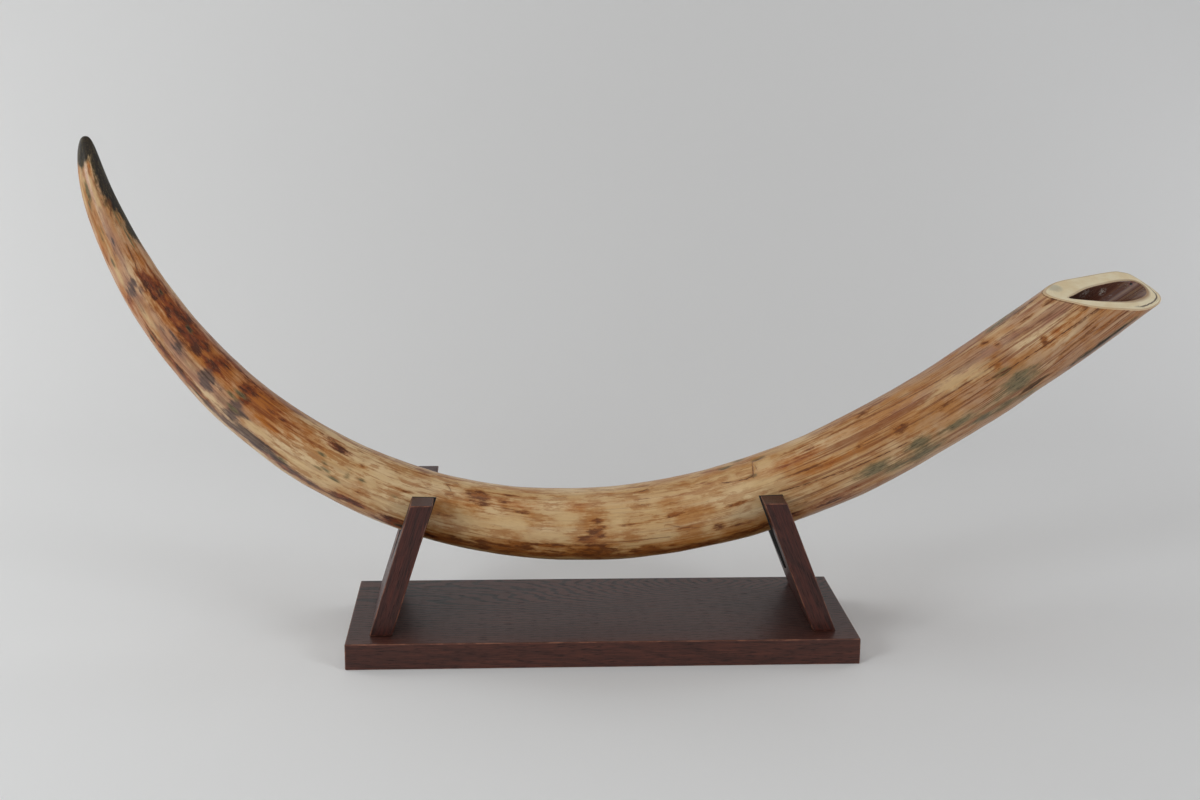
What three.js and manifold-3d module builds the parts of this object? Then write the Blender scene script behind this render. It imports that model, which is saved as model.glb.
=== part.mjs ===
// A mammoth tusk resting in the V notches of two leaning supports on a dark wooden board.
// Millimetres. +Z is up, +X runs from the tusk's tip side to its root side, and -Y is the front.
// The origin is the centre of the board's underside.

import * as THREE from 'three';
import { mergeVertices } from 'three/addons/utils/BufferGeometryUtils.js';
import Module from 'manifold-3d';

const wasm = await Module();
wasm.setup();

const degrees = Math.PI / 180;
const gap = 0.3; // left between pieces that touch

// ---- Board ----
const boardLength = 576;
const boardDepth = 220;
const boardThickness = 30;

// ---- Supports ----
// footSpread is from the middle of the board to the middle of a foot, along X. A liner's shift is
// towards the middle of the board.
const plankThickness = 24.2;
const plankDepth = 175; // front to back
const plankCentreY = 2.5; // the planks stand slightly behind the board's middle
const hornTopHeight = 181; // above the underside of the board
const notchHalfAngle = 20 * degrees; // between a wall of the notch and its middle
const notchBottomRadius = 23;
const trim = 20; // planks and liners are drawn this much too long, then cut level
const supports = [
  { side: 'left', toMiddle: 1, footSpread: 250, lean: 17.5 * degrees, linerShift: 1.5 },
  { side: 'right', toMiddle: -1, footSpread: 251.5, lean: 21.8 * degrees, linerShift: 0.5 },
];

// ---- Liners ----
const linerThickness = 2.6;
const linerOverhang = 1; // how far a centred liner would stick out of each face of its plank
const seatAllowance = 1; // room in the notch for the tusk's taper and bend across the plank

// ---- Screws ----
const screwLength = 62;
const shankRadius = 2.5;
const headRadius = 5;
const headRim = 0.4;
const headHeight = 3.5;
const pointLength = 6;
const headRecess = 5; // from the board's underside to the head, measured along the screw
const screwSpacing = 100;

// ---- Tusk ----
// The centreline starts at the tip and turns from steeply down to gently up. u runs from 0 at
// the tip to 1 at the middle of the sawn root end.
const tuskLength = 1440;
const tipX = -580;
const tipZ = 575.5;
const tipHook = 7; // how far the last few centimetres of the tip bend in, towards +X
const tipHookSpan = 0.06;
const headingAt = (u) => (-76.6 + 126.4 * u + 82.1 * u ** 2 - 92.1 * u ** 3) * degrees;
const swayAt = (u) => plankCentreY + 174 * (0.55 - u) ** 3;
const radiusAt = (u) => 54.5 * u ** 0.38 * (1 - 0.178 * u ** 3);
const tuskSides = 32;
const tuskRings = 60;
const overrun = 1.1; // the tusk is modelled past its root end, then sawn off
const cutTiltToFront = 20 * degrees;
const cutTiltToRoot = 1.5 * degrees;

// The pulp cavity is a cone that narrows from the sawn end towards the tip.
const cavityStart = 0.87;
const cavityShare = 0.6; // of the tusk's radius, at the sawn end
const cavityRings = 8;
const cavityOffset = 3; // towards the outer side of the bend

const fossilIvory = new THREE.MeshStandardMaterial({ color: 0xa8794a, roughness: 0.3, metalness: 0 });
const darkWood = new THREE.MeshStandardMaterial({ color: 0x3b2822, roughness: 0.35, metalness: 0 });
const blackRubber = new THREE.MeshStandardMaterial({ color: 0x151413, roughness: 0.8, metalness: 0 });
const screwSteel = new THREE.MeshStandardMaterial({ color: 0x8d8a84, roughness: 0.4, metalness: 1 });

// ---- Solids from three.js geometry ----

function solidOf(geometry) {
  geometry.deleteAttribute('normal');
  geometry.deleteAttribute('uv');
  const merged = mergeVertices(geometry, 1e-4);
  return new wasm.Manifold(new wasm.Mesh({
    numProp: 3,
    vertProperties: new Float32Array(merged.attributes.position.array),
    triVerts: new Uint32Array(merged.index.array),
  }));
}

function meshOf(name, solid, material) {
  const { vertProperties, triVerts } = solid.getMesh();
  const geometry = new THREE.BufferGeometry();
  geometry.setAttribute('position', new THREE.BufferAttribute(vertProperties, 3));
  geometry.setIndex(new THREE.BufferAttribute(triVerts, 1));
  geometry.computeVertexNormals();
  const mesh = new THREE.Mesh(geometry, material);
  mesh.name = name;
  return mesh;
}

function box(width, depth, height, x, y, z) {
  return new THREE.BoxGeometry(width, depth, height).translate(x, y, z);
}

// ---- Tusk ----

// Points along the centreline, each with its direction, found by walking from the tip.
function walkCentreline() {
  const steps = 600;
  const stations = [];
  const place = new THREE.Vector3(tipX, swayAt(0), tipZ);
  for (let i = 0; i <= steps; i++) {
    const u = (overrun * i) / steps;
    place.y = swayAt(u);
    const hook = tipHook * Math.max(0, 1 - u / tipHookSpan) ** 2;
    stations.push({ u, place: place.clone().add(new THREE.Vector3(hook, 0, 0)) });
    const step = (tuskLength * overrun) / steps;
    const ahead = headingAt(u + overrun / (2 * steps));
    place.x += Math.cos(ahead) * step;
    place.z += Math.sin(ahead) * step;
  }
  return stations;
}

const centreline = walkCentreline();

function stationAt(u) {
  const position = (Math.min(Math.max(u, 0), overrun) / overrun) * (centreline.length - 1);
  const index = Math.min(Math.floor(position), centreline.length - 2);
  const share = position - index;
  const place = centreline[index].place.clone().lerp(centreline[index + 1].place, share);
  return { place, heading: headingAt(u) };
}

// A lathed shape stands along +Y from 0; bending lays its axis along the centreline.
function bendAlongTusk(geometry, offset) {
  const points = geometry.attributes.position;
  const outer = new THREE.Vector3();
  const across = new THREE.Vector3(0, -1, 0);
  for (let i = 0; i < points.count; i++) {
    const { place, heading } = stationAt(points.getY(i));
    outer.set(Math.sin(heading), 0, -Math.cos(heading));
    place.addScaledVector(outer, points.getX(i) + offset);
    place.addScaledVector(across, points.getZ(i));
    points.setXYZ(i, place.x, place.y, place.z);
  }
  return geometry;
}

function makeTusk() {
  const outline = [new THREE.Vector2(0, 0)];
  for (let i = 1; i <= tuskRings; i++) {
    const u = overrun * (i / tuskRings) ** 1.6; // rings crowd towards the tip
    outline.push(new THREE.Vector2(radiusAt(u), u));
  }
  outline.push(new THREE.Vector2(0, overrun));
  const whole = solidOf(bendAlongTusk(new THREE.LatheGeometry(outline, tuskSides), 0));

  const cone = [new THREE.Vector2(0, cavityStart)];
  for (let i = 1; i <= cavityRings; i++) {
    const share = i / cavityRings;
    const u = cavityStart + (overrun - 0.005 - cavityStart) * share;
    cone.push(new THREE.Vector2(radiusAt(1) * cavityShare * share ** 0.55, u));
  }
  cone.push(new THREE.Vector2(0, overrun - 0.005));
  const cavity = solidOf(bendAlongTusk(new THREE.LatheGeometry(cone, tuskSides), cavityOffset));

  const sawn = box(600, 600, 400, 0, 0, 200);
  sawn.rotateX(cutTiltToFront);
  sawn.rotateY(cutTiltToRoot);
  sawn.translate(...stationAt(1).place.toArray());
  return whole.subtract(cavity).subtract(solidOf(sawn));
}

// ---- Supports, with their liners and screws ----

// Each support is drawn standing upright: x across the plank's thickness, y front to back, and
// z up the plank from the middle of its foot. This lays it at its lean.
function leanInPlace(geometry, support) {
  geometry.rotateY(support.toMiddle * support.lean);
  geometry.translate(-support.toMiddle * support.footSpread, plankCentreY, boardThickness);
  return geometry;
}

// An outline in (y, z) becomes a plate centred on x = 0.
function plate(outline, thickness) {
  const geometry = new THREE.ExtrudeGeometry(new THREE.Shape(outline), {
    depth: thickness,
    bevelEnabled: false,
  });
  geometry.translate(0, 0, -thickness / 2);
  geometry.rotateX(90 * degrees);
  geometry.rotateZ(90 * degrees);
  return geometry;
}

const raise = (distance) => distance / Math.sin(notchHalfAngle);
const hornLengthOf = (support) => (hornTopHeight - boardThickness) / Math.cos(support.lean);

// How far up its plank the walls of a notch would meet, for the tusk to seat where it crosses.
function notchPoint(support) {
  const { toMiddle, footSpread, lean } = support;
  const aheadOfPlank = ({ place }) => {
    const across = place.x + toMiddle * footSpread;
    return across * Math.cos(lean) - toMiddle * (place.z - boardThickness) * Math.sin(lean);
  };
  const seat = centreline.find((station) => station.u > 0.2 && aheadOfPlank(station) > 0);
  const up = (seat.place.z - boardThickness) / Math.cos(lean);
  return up - raise(radiusAt(seat.u) + linerThickness + gap + seatAllowance);
}

// Down one wall of a notch, round its bottom and up the other wall. An inset line lies that far
// inside the notch.
function notchLine(support, inset, top) {
  const point = notchPoint(support);
  const middle = point + raise(notchBottomRadius);
  const radius = notchBottomRadius - inset;
  const halfWidth = (top - point - raise(inset)) * Math.tan(notchHalfAngle);
  const line = [new THREE.Vector2(halfWidth, top)];
  const segments = 10;
  for (let i = 0; i <= segments; i++) {
    const angle = -notchHalfAngle - (Math.PI - 2 * notchHalfAngle) * (i / segments);
    line.push(new THREE.Vector2(radius * Math.cos(angle), middle + radius * Math.sin(angle)));
  }
  line.push(new THREE.Vector2(-halfWidth, top));
  return line;
}

// The space between the board and the level of the horn tops.
function levelSlab(support) {
  const bottom = boardThickness + gap;
  const height = hornTopHeight - bottom;
  const x = -support.toMiddle * support.footSpread;
  return solidOf(box(400, 400, height, x, 0, bottom + height / 2));
}

function makePlank(support) {
  const top = hornLengthOf(support) + trim;
  const bottom = -trim;
  const half = plankDepth / 2;
  const outline = [
    new THREE.Vector2(-half, bottom),
    new THREE.Vector2(half, bottom),
    new THREE.Vector2(half, top),
    ...notchLine(support, 0, top),
    new THREE.Vector2(-half, top),
  ];
  const plank = leanInPlace(plate(outline, plankThickness), support);
  return solidOf(plank).intersect(levelSlab(support));
}

// The liner is one strip, bent round the bottom of the notch.
function makeLiner(support) {
  const top = hornLengthOf(support) + trim;
  const outside = notchLine(support, gap, top);
  const inside = notchLine(support, gap + linerThickness, top);
  const outline = [...outside, ...inside.reverse()];
  const strip = plate(outline, plankThickness + 2 * linerOverhang);
  strip.translate(support.toMiddle * support.linerShift, 0, 0);
  return solidOf(leanInPlace(strip, support)).intersect(levelSlab(support));
}

// A screw points up the plank, and its head is sunk into the underside of the board.
const headHeightIn = (support) => headRecess - boardThickness / Math.cos(support.lean);

function screwOutline(support) {
  const head = headHeightIn(support);
  return [
    new THREE.Vector2(0, head),
    new THREE.Vector2(headRadius, head),
    new THREE.Vector2(headRadius, head + headRim),
    new THREE.Vector2(shankRadius, head + headHeight),
    new THREE.Vector2(shankRadius, head + screwLength - pointLength),
    new THREE.Vector2(0, head + screwLength),
  ];
}

function holeOutline(support) {
  const head = headHeightIn(support);
  const wide = headRadius + gap;
  const thin = shankRadius + gap;
  return [
    new THREE.Vector2(0, head - 3 * headRecess),
    new THREE.Vector2(wide, head - 3 * headRecess),
    new THREE.Vector2(wide, head + headRim + gap),
    new THREE.Vector2(thin, head + headHeight + gap),
    new THREE.Vector2(thin, head + screwLength - pointLength + gap),
    new THREE.Vector2(0, head + screwLength + 3 * gap),
  ];
}

function turnedInPlace(outline, support, y) {
  const turned = new THREE.LatheGeometry(outline, 16);
  turned.rotateX(90 * degrees);
  turned.translate(0, y, 0);
  return solidOf(leanInPlace(turned, support));
}

// ---- Assembly ----

const model = new THREE.Group();

let board = solidOf(box(boardLength, boardDepth, boardThickness, 0, 0, boardThickness / 2));

for (const support of supports) {
  let plank = makePlank(support);
  for (const [place, y] of [['front', -screwSpacing / 2], ['back', screwSpacing / 2]]) {
    const hole = turnedInPlace(holeOutline(support), support, y);
    const screw = turnedInPlace(screwOutline(support), support, y);
    board = board.subtract(hole);
    plank = plank.subtract(hole);
    model.add(meshOf(`${support.side}_screw_${place}`, screw, screwSteel));
  }
  model.add(meshOf(`${support.side}_support`, plank, darkWood));
  model.add(meshOf(`${support.side}_liner`, makeLiner(support), blackRubber));
}

model.add(meshOf('base_board', board, darkWood));
model.add(meshOf('tusk', makeTusk(), fossilIvory));

export default model;
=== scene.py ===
# %% [markdown]
# # A mammoth tusk on its stand
# The object is a fossil mammoth tusk, 1.2 m across its bend. It lies in the notches of two
# leaning supports on a dark wooden board. The solids come from the CAD model, in metres, and
# this script gives them their visible surfaces: stained and varnished ivory, dark stained wood,
# black rubber and zinc-plated screws. +X runs towards the tusk's root, -Y is the front.

# %% Load the frame
import math

import bmesh
import bpy
import numpy as np
from mathutils import Matrix, Vector


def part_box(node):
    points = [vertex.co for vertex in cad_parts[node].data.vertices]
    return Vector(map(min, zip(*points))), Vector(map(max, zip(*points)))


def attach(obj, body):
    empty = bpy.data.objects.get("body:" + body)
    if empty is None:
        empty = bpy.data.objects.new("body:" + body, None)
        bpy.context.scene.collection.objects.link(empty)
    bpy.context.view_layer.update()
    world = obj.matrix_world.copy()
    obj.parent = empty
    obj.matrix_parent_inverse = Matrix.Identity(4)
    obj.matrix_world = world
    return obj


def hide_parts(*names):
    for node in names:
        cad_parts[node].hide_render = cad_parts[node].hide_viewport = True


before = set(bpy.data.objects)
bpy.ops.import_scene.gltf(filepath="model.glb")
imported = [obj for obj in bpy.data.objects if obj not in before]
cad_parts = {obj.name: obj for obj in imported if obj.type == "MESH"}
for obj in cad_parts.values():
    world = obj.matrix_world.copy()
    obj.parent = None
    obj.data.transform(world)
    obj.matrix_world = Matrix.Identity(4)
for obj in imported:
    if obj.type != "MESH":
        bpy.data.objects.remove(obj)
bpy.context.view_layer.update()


# %% [markdown]
# ## A short way to write nodes
# Materials and Geometry Nodes are both trees of nodes, and wiring them by hand takes many lines.
# A `Wire` stands for one output of a node, so sums can be written as Python expressions, and a
# `Tree` makes any other node from its settings and its sockets. The same two classes serve both
# kinds of tree.

# %% Wires and trees
class Wire:
    """One output of a node. A sum on wires adds Math nodes to the tree they belong to."""

    def __init__(self, tree, socket):
        self.tree = tree
        self.socket = socket

    def math(self, operation, *others):
        return self.tree.math(operation, self, *others)

    def __add__(self, other):
        return self.math("ADD", other)

    def __sub__(self, other):
        return self.math("SUBTRACT", other)

    def __rsub__(self, other):
        return self.tree.math("SUBTRACT", other, self)

    def __mul__(self, other):
        return self.math("MULTIPLY", other)

    def __truediv__(self, other):
        return self.math("DIVIDE", other)

    def __rtruediv__(self, other):
        return self.tree.math("DIVIDE", other, self)

    __radd__ = __add__
    __rmul__ = __mul__

    def size(self):
        return self.math("ABSOLUTE")

    def root(self):
        return self.math("SQRT")

    def between(self, low, high):
        """0 below low, 1 above high, and a smooth rise between them. low may be the larger."""
        settings = {"interpolation_type": "SMOOTHSTEP"}
        sockets = {"Value": self, "From Min": low, "From Max": high}
        return self.tree.node("ShaderNodeMapRange", settings, sockets)


class Tree:
    """A material's tree or a Geometry Nodes tree."""

    def __init__(self, node_tree):
        self.nodes = node_tree.nodes
        self.links = node_tree.links

    def node(self, kind, settings=None, sockets=None, output=0):
        """Any other node, from its type, its settings and what its sockets get."""
        made = self.nodes.new(kind)
        for name, value in (settings or {}).items():
            setattr(made, name, value)
        self.feed_all(made, sockets or {})
        return Wire(self, made.outputs[output])

    def feed(self, socket, value):
        if isinstance(value, Wire):
            self.links.new(value.socket, socket)
        else:
            socket.default_value = value

    def feed_all(self, node, sockets):
        """Gives each named socket of a node its wire or its constant."""
        for name, value in sockets.items():
            self.feed(node.inputs[name], value)

    def math(self, operation, *values):
        sockets = dict(enumerate(values))
        return self.node("ShaderNodeMath", {"operation": operation}, sockets)

    def stretch(self, vector, factors):
        """A vector times another, component by component."""
        settings = {"operation": "MULTIPLY"}
        return self.node("ShaderNodeVectorMath", settings, {0: vector, 1: factors})

    def parts(self, vector):
        """The three components of a vector."""
        split = self.node("ShaderNodeSeparateXYZ", None, {"Vector": vector})
        return [Wire(self, output) for output in split.socket.node.outputs]

    def join(self, x, y, z):
        return self.node("ShaderNodeCombineXYZ", None, {"X": x, "Y": y, "Z": z})

    def noise(self, vector, factors=(1, 1, 1), detail=3.0, roughness=0.5, seed=0.0):
        """Noise from 0 to 1. factors is how many lumps fit in a metre, along x, y and z."""
        sockets = {
            "Vector": self.stretch(vector, factors),
            "W": seed,
            "Scale": 1.0,
            "Detail": detail,
            "Roughness": roughness,
        }
        return self.node("ShaderNodeTexNoise", {"noise_dimensions": "4D"}, sockets)

    def mix(self, share, under, over):
        """A colour that goes from under to over as share goes from 0 to 1."""
        sockets = {0: share, 6: rgba(under), 7: rgba(over)}
        settings = {"data_type": "RGBA", "clamp_factor": True}
        return self.node("ShaderNodeMix", settings, sockets, output=2)

    def bump(self, height, distance, strength=1.0, under=None):
        sockets = {"Height": height, "Distance": distance, "Strength": strength}
        if under is not None:
            sockets["Normal"] = under
        return self.node("ShaderNodeBump", None, sockets)


def rgba(colour):
    return colour if isinstance(colour, Wire) else (*colour, 1.0)


def paint(red, green, blue):
    """The linear colour for a colour mixed on a screen, 0 to 255."""
    def linear(value):
        share = value / 255
        return share / 12.92 if share <= 0.04045 else ((share + 0.055) / 1.055) ** 2.4
    return (linear(red), linear(green), linear(blue))


def new_material(name):
    """A material with one Principled shader. Gives the material, its tree and the shader."""
    material = bpy.data.materials.new(name)
    material.use_nodes = True
    tree = Tree(material.node_tree)
    return material, tree, tree.nodes["Principled BSDF"]


def object_place(tree):
    """Where a point is, in metres, in the frame."""
    return tree.node("ShaderNodeTexCoord", None, None, output="Object")


def attribute(tree, name, output="Fac"):
    return tree.node("ShaderNodeAttribute", {"attribute_name": name}, None, output=output)


def link_object(name, data):
    """A new object in the scene, at the origin."""
    made = bpy.data.objects.new(name, data)
    bpy.context.scene.collection.objects.link(made)
    return made


print("node helpers ready")


# %% [markdown]
# ## Camera
# The tusk is seen from the front, slightly from the left and from a little above. The camera is
# a long lens about 1.9 m away. It's written as a position and three angles, and turned into a
# matrix, because a roll of half a degree is easy to lose with a Track To constraint.

# %% Camera
FULL_FRAME_WIDTH = 36.0
camera_data = bpy.data.cameras.new("camera")
camera_data.sensor_width = FULL_FRAME_WIDTH
camera_data.lens = 50.0
camera = link_object("camera", camera_data)

camera_place = Vector((-0.109, -1.859, 0.694))
yaw, pitch, roll = math.radians(3.31), math.radians(12.50), math.radians(-0.51)
forward = Vector((
    math.sin(yaw) * math.cos(pitch),
    math.cos(yaw) * math.cos(pitch),
    -math.sin(pitch),
))
level = Vector((math.cos(yaw), -math.sin(yaw), 0))
down = forward.cross(level)
rightward = level * math.cos(roll) + down * math.sin(roll)
downward = down * math.cos(roll) - level * math.sin(roll)
turned = Matrix((rightward, -downward, -forward)).transposed()
camera.matrix_world = Matrix.Translation(camera_place) @ turned.to_4x4()
bpy.context.scene.camera = camera
print("camera looks along", [round(value, 3) for value in forward])


# %% [markdown]
# ## Floor, backdrop and light
# A paper sweep is one sheet: flat under the object, curved up behind it and then upright, so no
# horizon shows. Its back is clear, so that the object can also be seen from behind. The light is
# soft. Two lamps stand low in front, three stand at the sides and back, a weak one hangs above,
# and a dim world fills the rest. Low lamps in front light a long round body evenly, put no hard
# gleam along it, and throw the board's shadow behind it. The left lamps are the stronger ones.

# %% Paper sweep
def link_mesh(name, points, faces, material):
    """A new smooth mesh object from points and faces, at the origin."""
    mesh = bpy.data.meshes.new(name)
    mesh.from_pydata([tuple(point) for point in points], [], faces)
    mesh.materials.append(material)
    mesh.shade_smooth()
    return link_object(name, mesh)


def make_paper():
    material, tree, shader = new_material("pale_paper")
    fibre = tree.noise(object_place(tree), (900, 900, 900), detail=2)
    drift = tree.noise(object_place(tree), (0.9, 0.9, 0.9), detail=1, seed=3.0)
    tone = tree.mix(fibre * 0.4 + drift * 0.6, (0.78, 0.78, 0.78), (0.84, 0.84, 0.84))
    tree.feed_all(shader, {"Base Color": tone, "Roughness": 0.65, "Specular IOR Level": 0.35})
    from_behind = tree.node("ShaderNodeNewGeometry", None, None, output="Backfacing")
    clear = tree.node("ShaderNodeBsdfTransparent")
    front = Wire(tree, shader.outputs["BSDF"])
    sheet = tree.node("ShaderNodeMixShader", None, {0: from_behind, 1: front, 2: clear})
    tree.feed_all(tree.nodes["Material Output"], {"Surface": sheet})
    return material


SWEEP_FRONT, SWEEP_CURVE_START, SWEEP_RADIUS, SWEEP_TOP = -9.0, 0.9, 1.2, 3.2
SWEEP_HALF_WIDTH, SWEEP_CURVE_STEPS = 9.0, 32
sweep_line = [(SWEEP_FRONT, 0.0)]
for step in range(SWEEP_CURVE_STEPS + 1):
    angle = math.radians(90) * step / SWEEP_CURVE_STEPS
    y = SWEEP_CURVE_START + SWEEP_RADIUS * math.sin(angle)
    sweep_line.append((y, SWEEP_RADIUS * (1 - math.cos(angle))))
sweep_line.append((SWEEP_CURVE_START + SWEEP_RADIUS, SWEEP_TOP))
sweep_points = [(side * SWEEP_HALF_WIDTH, y, z) for y, z in sweep_line for side in (-1, 1)]
sweep_faces = [(2 * i, 2 * i + 1, 2 * i + 3, 2 * i + 2) for i in range(len(sweep_line) - 1)]
sweep = link_mesh("paper_sweep", sweep_points, sweep_faces, make_paper())
print("sweep:", len(sweep_faces), "faces")


# %% Lamps and world
def add_lamp(name, place, width, height, watts, colour):
    """A rectangular soft lamp that points from its place to the middle of the object."""
    lamp = bpy.data.lights.new(name, "AREA")
    lamp.shape = "RECTANGLE"
    lamp.size = width
    lamp.size_y = height
    lamp.energy = watts
    lamp.color = colour
    holder = link_object(name, lamp)
    aim = (LAMP_TARGET - place).to_track_quat("-Z", "Y")
    holder.matrix_world = Matrix.Translation(place) @ aim.to_matrix().to_4x4()


# name: place, width, height, watts, colour
LAMPS = {
    "lamp_above": ((-0.2, -0.5, 2.3), 1.8, 1.2, 5.5, (1, 1, 1)),
    "lamp_front_left": ((-1.9, -1.9, 1.25), 1.0, 0.8, 27.0, (0.92, 0.97, 1.0)),
    "lamp_front_right": ((1.9, -1.9, 1.25), 1.0, 0.8, 19.5, (0.90, 0.96, 1.0)),
    "lamp_left": ((-2.4, 0.3, 1.3), 1.4, 1.4, 13.5, (0.92, 0.98, 1.0)),
    "lamp_back_left": ((-2.2, 1.1, 1.2), 1.0, 1.4, 10.0, (1, 1, 1)),
    "lamp_back_right": ((2.2, 1.1, 1.2), 1.0, 1.4, 9.5, (0.92, 0.96, 1.0)),
}
LAMP_TARGET = Vector((0.0, 0.0, 0.25))
for name, (place, width, height, watts, colour) in LAMPS.items():
    add_lamp(name, Vector(place), width, height, watts, colour)

world = bpy.data.worlds.new("pale_room")
world.use_nodes = True
background = world.node_tree.nodes["Background"]
background.inputs["Color"].default_value = (1.0, 0.90, 0.82, 1.0)
background.inputs["Strength"].default_value = 0.19
bpy.context.scene.world = world
bpy.context.scene.view_settings.view_transform = "Standard"
print("lamps:", list(LAMPS))


# %% [markdown]
# ## The tusk's shape
# A tusk grows as a long, slowly twisting cone, so two laws give nearly all of its shape: how
# its direction turns along its length, and how its half width grows from the tip. `u` is 0 at
# the tip and 1 at the middle of the sawn root end. The centreline is walked in small steps.
# Geometry Nodes then sweep a ring along it, which keeps the rows of points in order and lets
# the slow swellings and the long flutes of real ivory be pushed in as named amounts.

# %% The tusk's laws
TUSK_LENGTH = 1.440
TIP_X, TIP_Z = -0.580, 0.5755
TIP_HOOK, TIP_HOOK_SPAN = 0.007, 0.06
OVERRUN = 1.1
WALK_STEPS = 600
TUSK_SIDES = 168
TUSK_ROWS = 524


def heading(u):
    """The angle above level in which the tusk runs."""
    return np.radians(-76.6 + 126.4 * u + 82.1 * u**2 - 92.1 * u**3)


def sway(u):
    """How far the centreline is to the back."""
    return 0.0025 + 0.174 * (0.55 - u) ** 3


def half_width(u):
    """It widens fast at the tip, and hardly at all near the root."""
    return 0.0545 * u**0.38 * (1 - 0.178 * u**3)


walk_u = np.linspace(0, OVERRUN, WALK_STEPS + 1)
stride = TUSK_LENGTH * OVERRUN / WALK_STEPS
ahead = heading(walk_u[:-1] + OVERRUN / (2 * WALK_STEPS))
walk_x = TIP_X + stride * np.concatenate(([0], np.cumsum(np.cos(ahead))))
walk_z = TIP_Z + stride * np.concatenate(([0], np.cumsum(np.sin(ahead))))
walk_x = walk_x + TIP_HOOK * np.maximum(0, 1 - walk_u / TIP_HOOK_SPAN) ** 2


def centre(u):
    """Points on the centreline."""
    places = [np.interp(u, walk_u, walk_x), sway(u), np.interp(u, walk_u, walk_z)]
    return np.stack(np.broadcast_arrays(*places), axis=-1)


def inner_side(u):
    """The direction from the centreline to the inner side of the bend."""
    turn = heading(u)
    return np.stack([-np.sin(turn), np.zeros_like(turn), np.cos(turn)], axis=-1)


FRONT = np.array([0.0, -1.0, 0.0])
print("root end is centred on", centre(np.array(1.0)).round(4))

# %% Rows along the tusk
# The rows are crowded where the tip is round and spread out further down.
fine_u = np.concatenate(([0], np.geomspace(1e-6, OVERRUN, 6000)))
skin_travel = np.hypot(np.diff(half_width(fine_u)), np.diff(fine_u) * TUSK_LENGTH)
skin_length = np.concatenate(([0], np.cumsum(skin_travel)))
CROWDING = 1.2
row_length = skin_length[-1] * (np.arange(TUSK_ROWS) / (TUSK_ROWS - 1)) ** CROWDING
row_u = np.interp(row_length, skin_length, fine_u)

spine = bpy.data.meshes.new("tusk_spine")
spine.from_pydata(
    [tuple(place) for place in centre(row_u)],
    [(i, i + 1) for i in range(TUSK_ROWS - 1)],
    [],
)
width_layer = spine.attributes.new("half_width", "FLOAT", "POINT")
width_layer.data.foreach_set("value", np.maximum(half_width(row_u), 1e-5))
along_layer = spine.attributes.new("along", "FLOAT", "POINT")
along_layer.data.foreach_set("value", row_u)
print("rows:", TUSK_ROWS, "first steps (mm):", (np.diff(row_length)[:3] * 1000).round(2))


# %% [markdown]
# ## Sweeping the ring
# The tree turns the spine into a curve, gives it the half widths, sweeps the ring along it, and
# pushes the skin in and out by two noises. One is slow and lumpy. The other is drawn out along
# the tusk, as flutes that grow towards the root, and it reads the place on the ring, so it has
# no seam.

# %% Helpers for Geometry Nodes
def new_geometry_tree(name, inputs):
    """A Geometry Nodes tree with one geometry input and output, and named inputs."""
    group = bpy.data.node_groups.new(name, "GeometryNodeTree")
    group.interface.new_socket("Geometry", in_out="INPUT", socket_type="NodeSocketGeometry")
    for label, kind in inputs.items():
        group.interface.new_socket(label, in_out="INPUT", socket_type=kind)
    group.interface.new_socket("Geometry", in_out="OUTPUT", socket_type="NodeSocketGeometry")
    entry = group.nodes.new("NodeGroupInput")
    tree = Tree(group)
    wires = {socket.name: Wire(tree, socket) for socket in entry.outputs if socket.name}
    return group, tree, wires


def finish_tree(tree, geometry, material):
    """Ends a tree in real mesh with its material on."""
    real = tree.node("GeometryNodeRealizeInstances", None, {"Geometry": geometry})
    dressed = tree.node("GeometryNodeSetMaterial", None, {"Geometry": real, "Material": material})
    exit_node = tree.nodes.new("NodeGroupOutput")
    tree.feed(exit_node.inputs["Geometry"], dressed)


def grow(name, source_mesh, group, values):
    """The plain mesh that a Geometry Nodes tree makes from a source mesh."""
    source = link_object(name, source_mesh)
    modifier = source.modifiers.new("shape", "NODES")
    modifier.node_group = group
    for socket in group.interface.items_tree:
        if socket.in_out == "INPUT" and socket.name in values:
            modifier[socket.identifier] = values[socket.name]
    graph = bpy.context.evaluated_depsgraph_get()
    grown = bpy.data.meshes.new_from_object(source.evaluated_get(graph))
    bpy.data.objects.remove(source)
    return grown


# %% The tusk's tree
FLUTES_ALONG = 5.0


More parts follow.
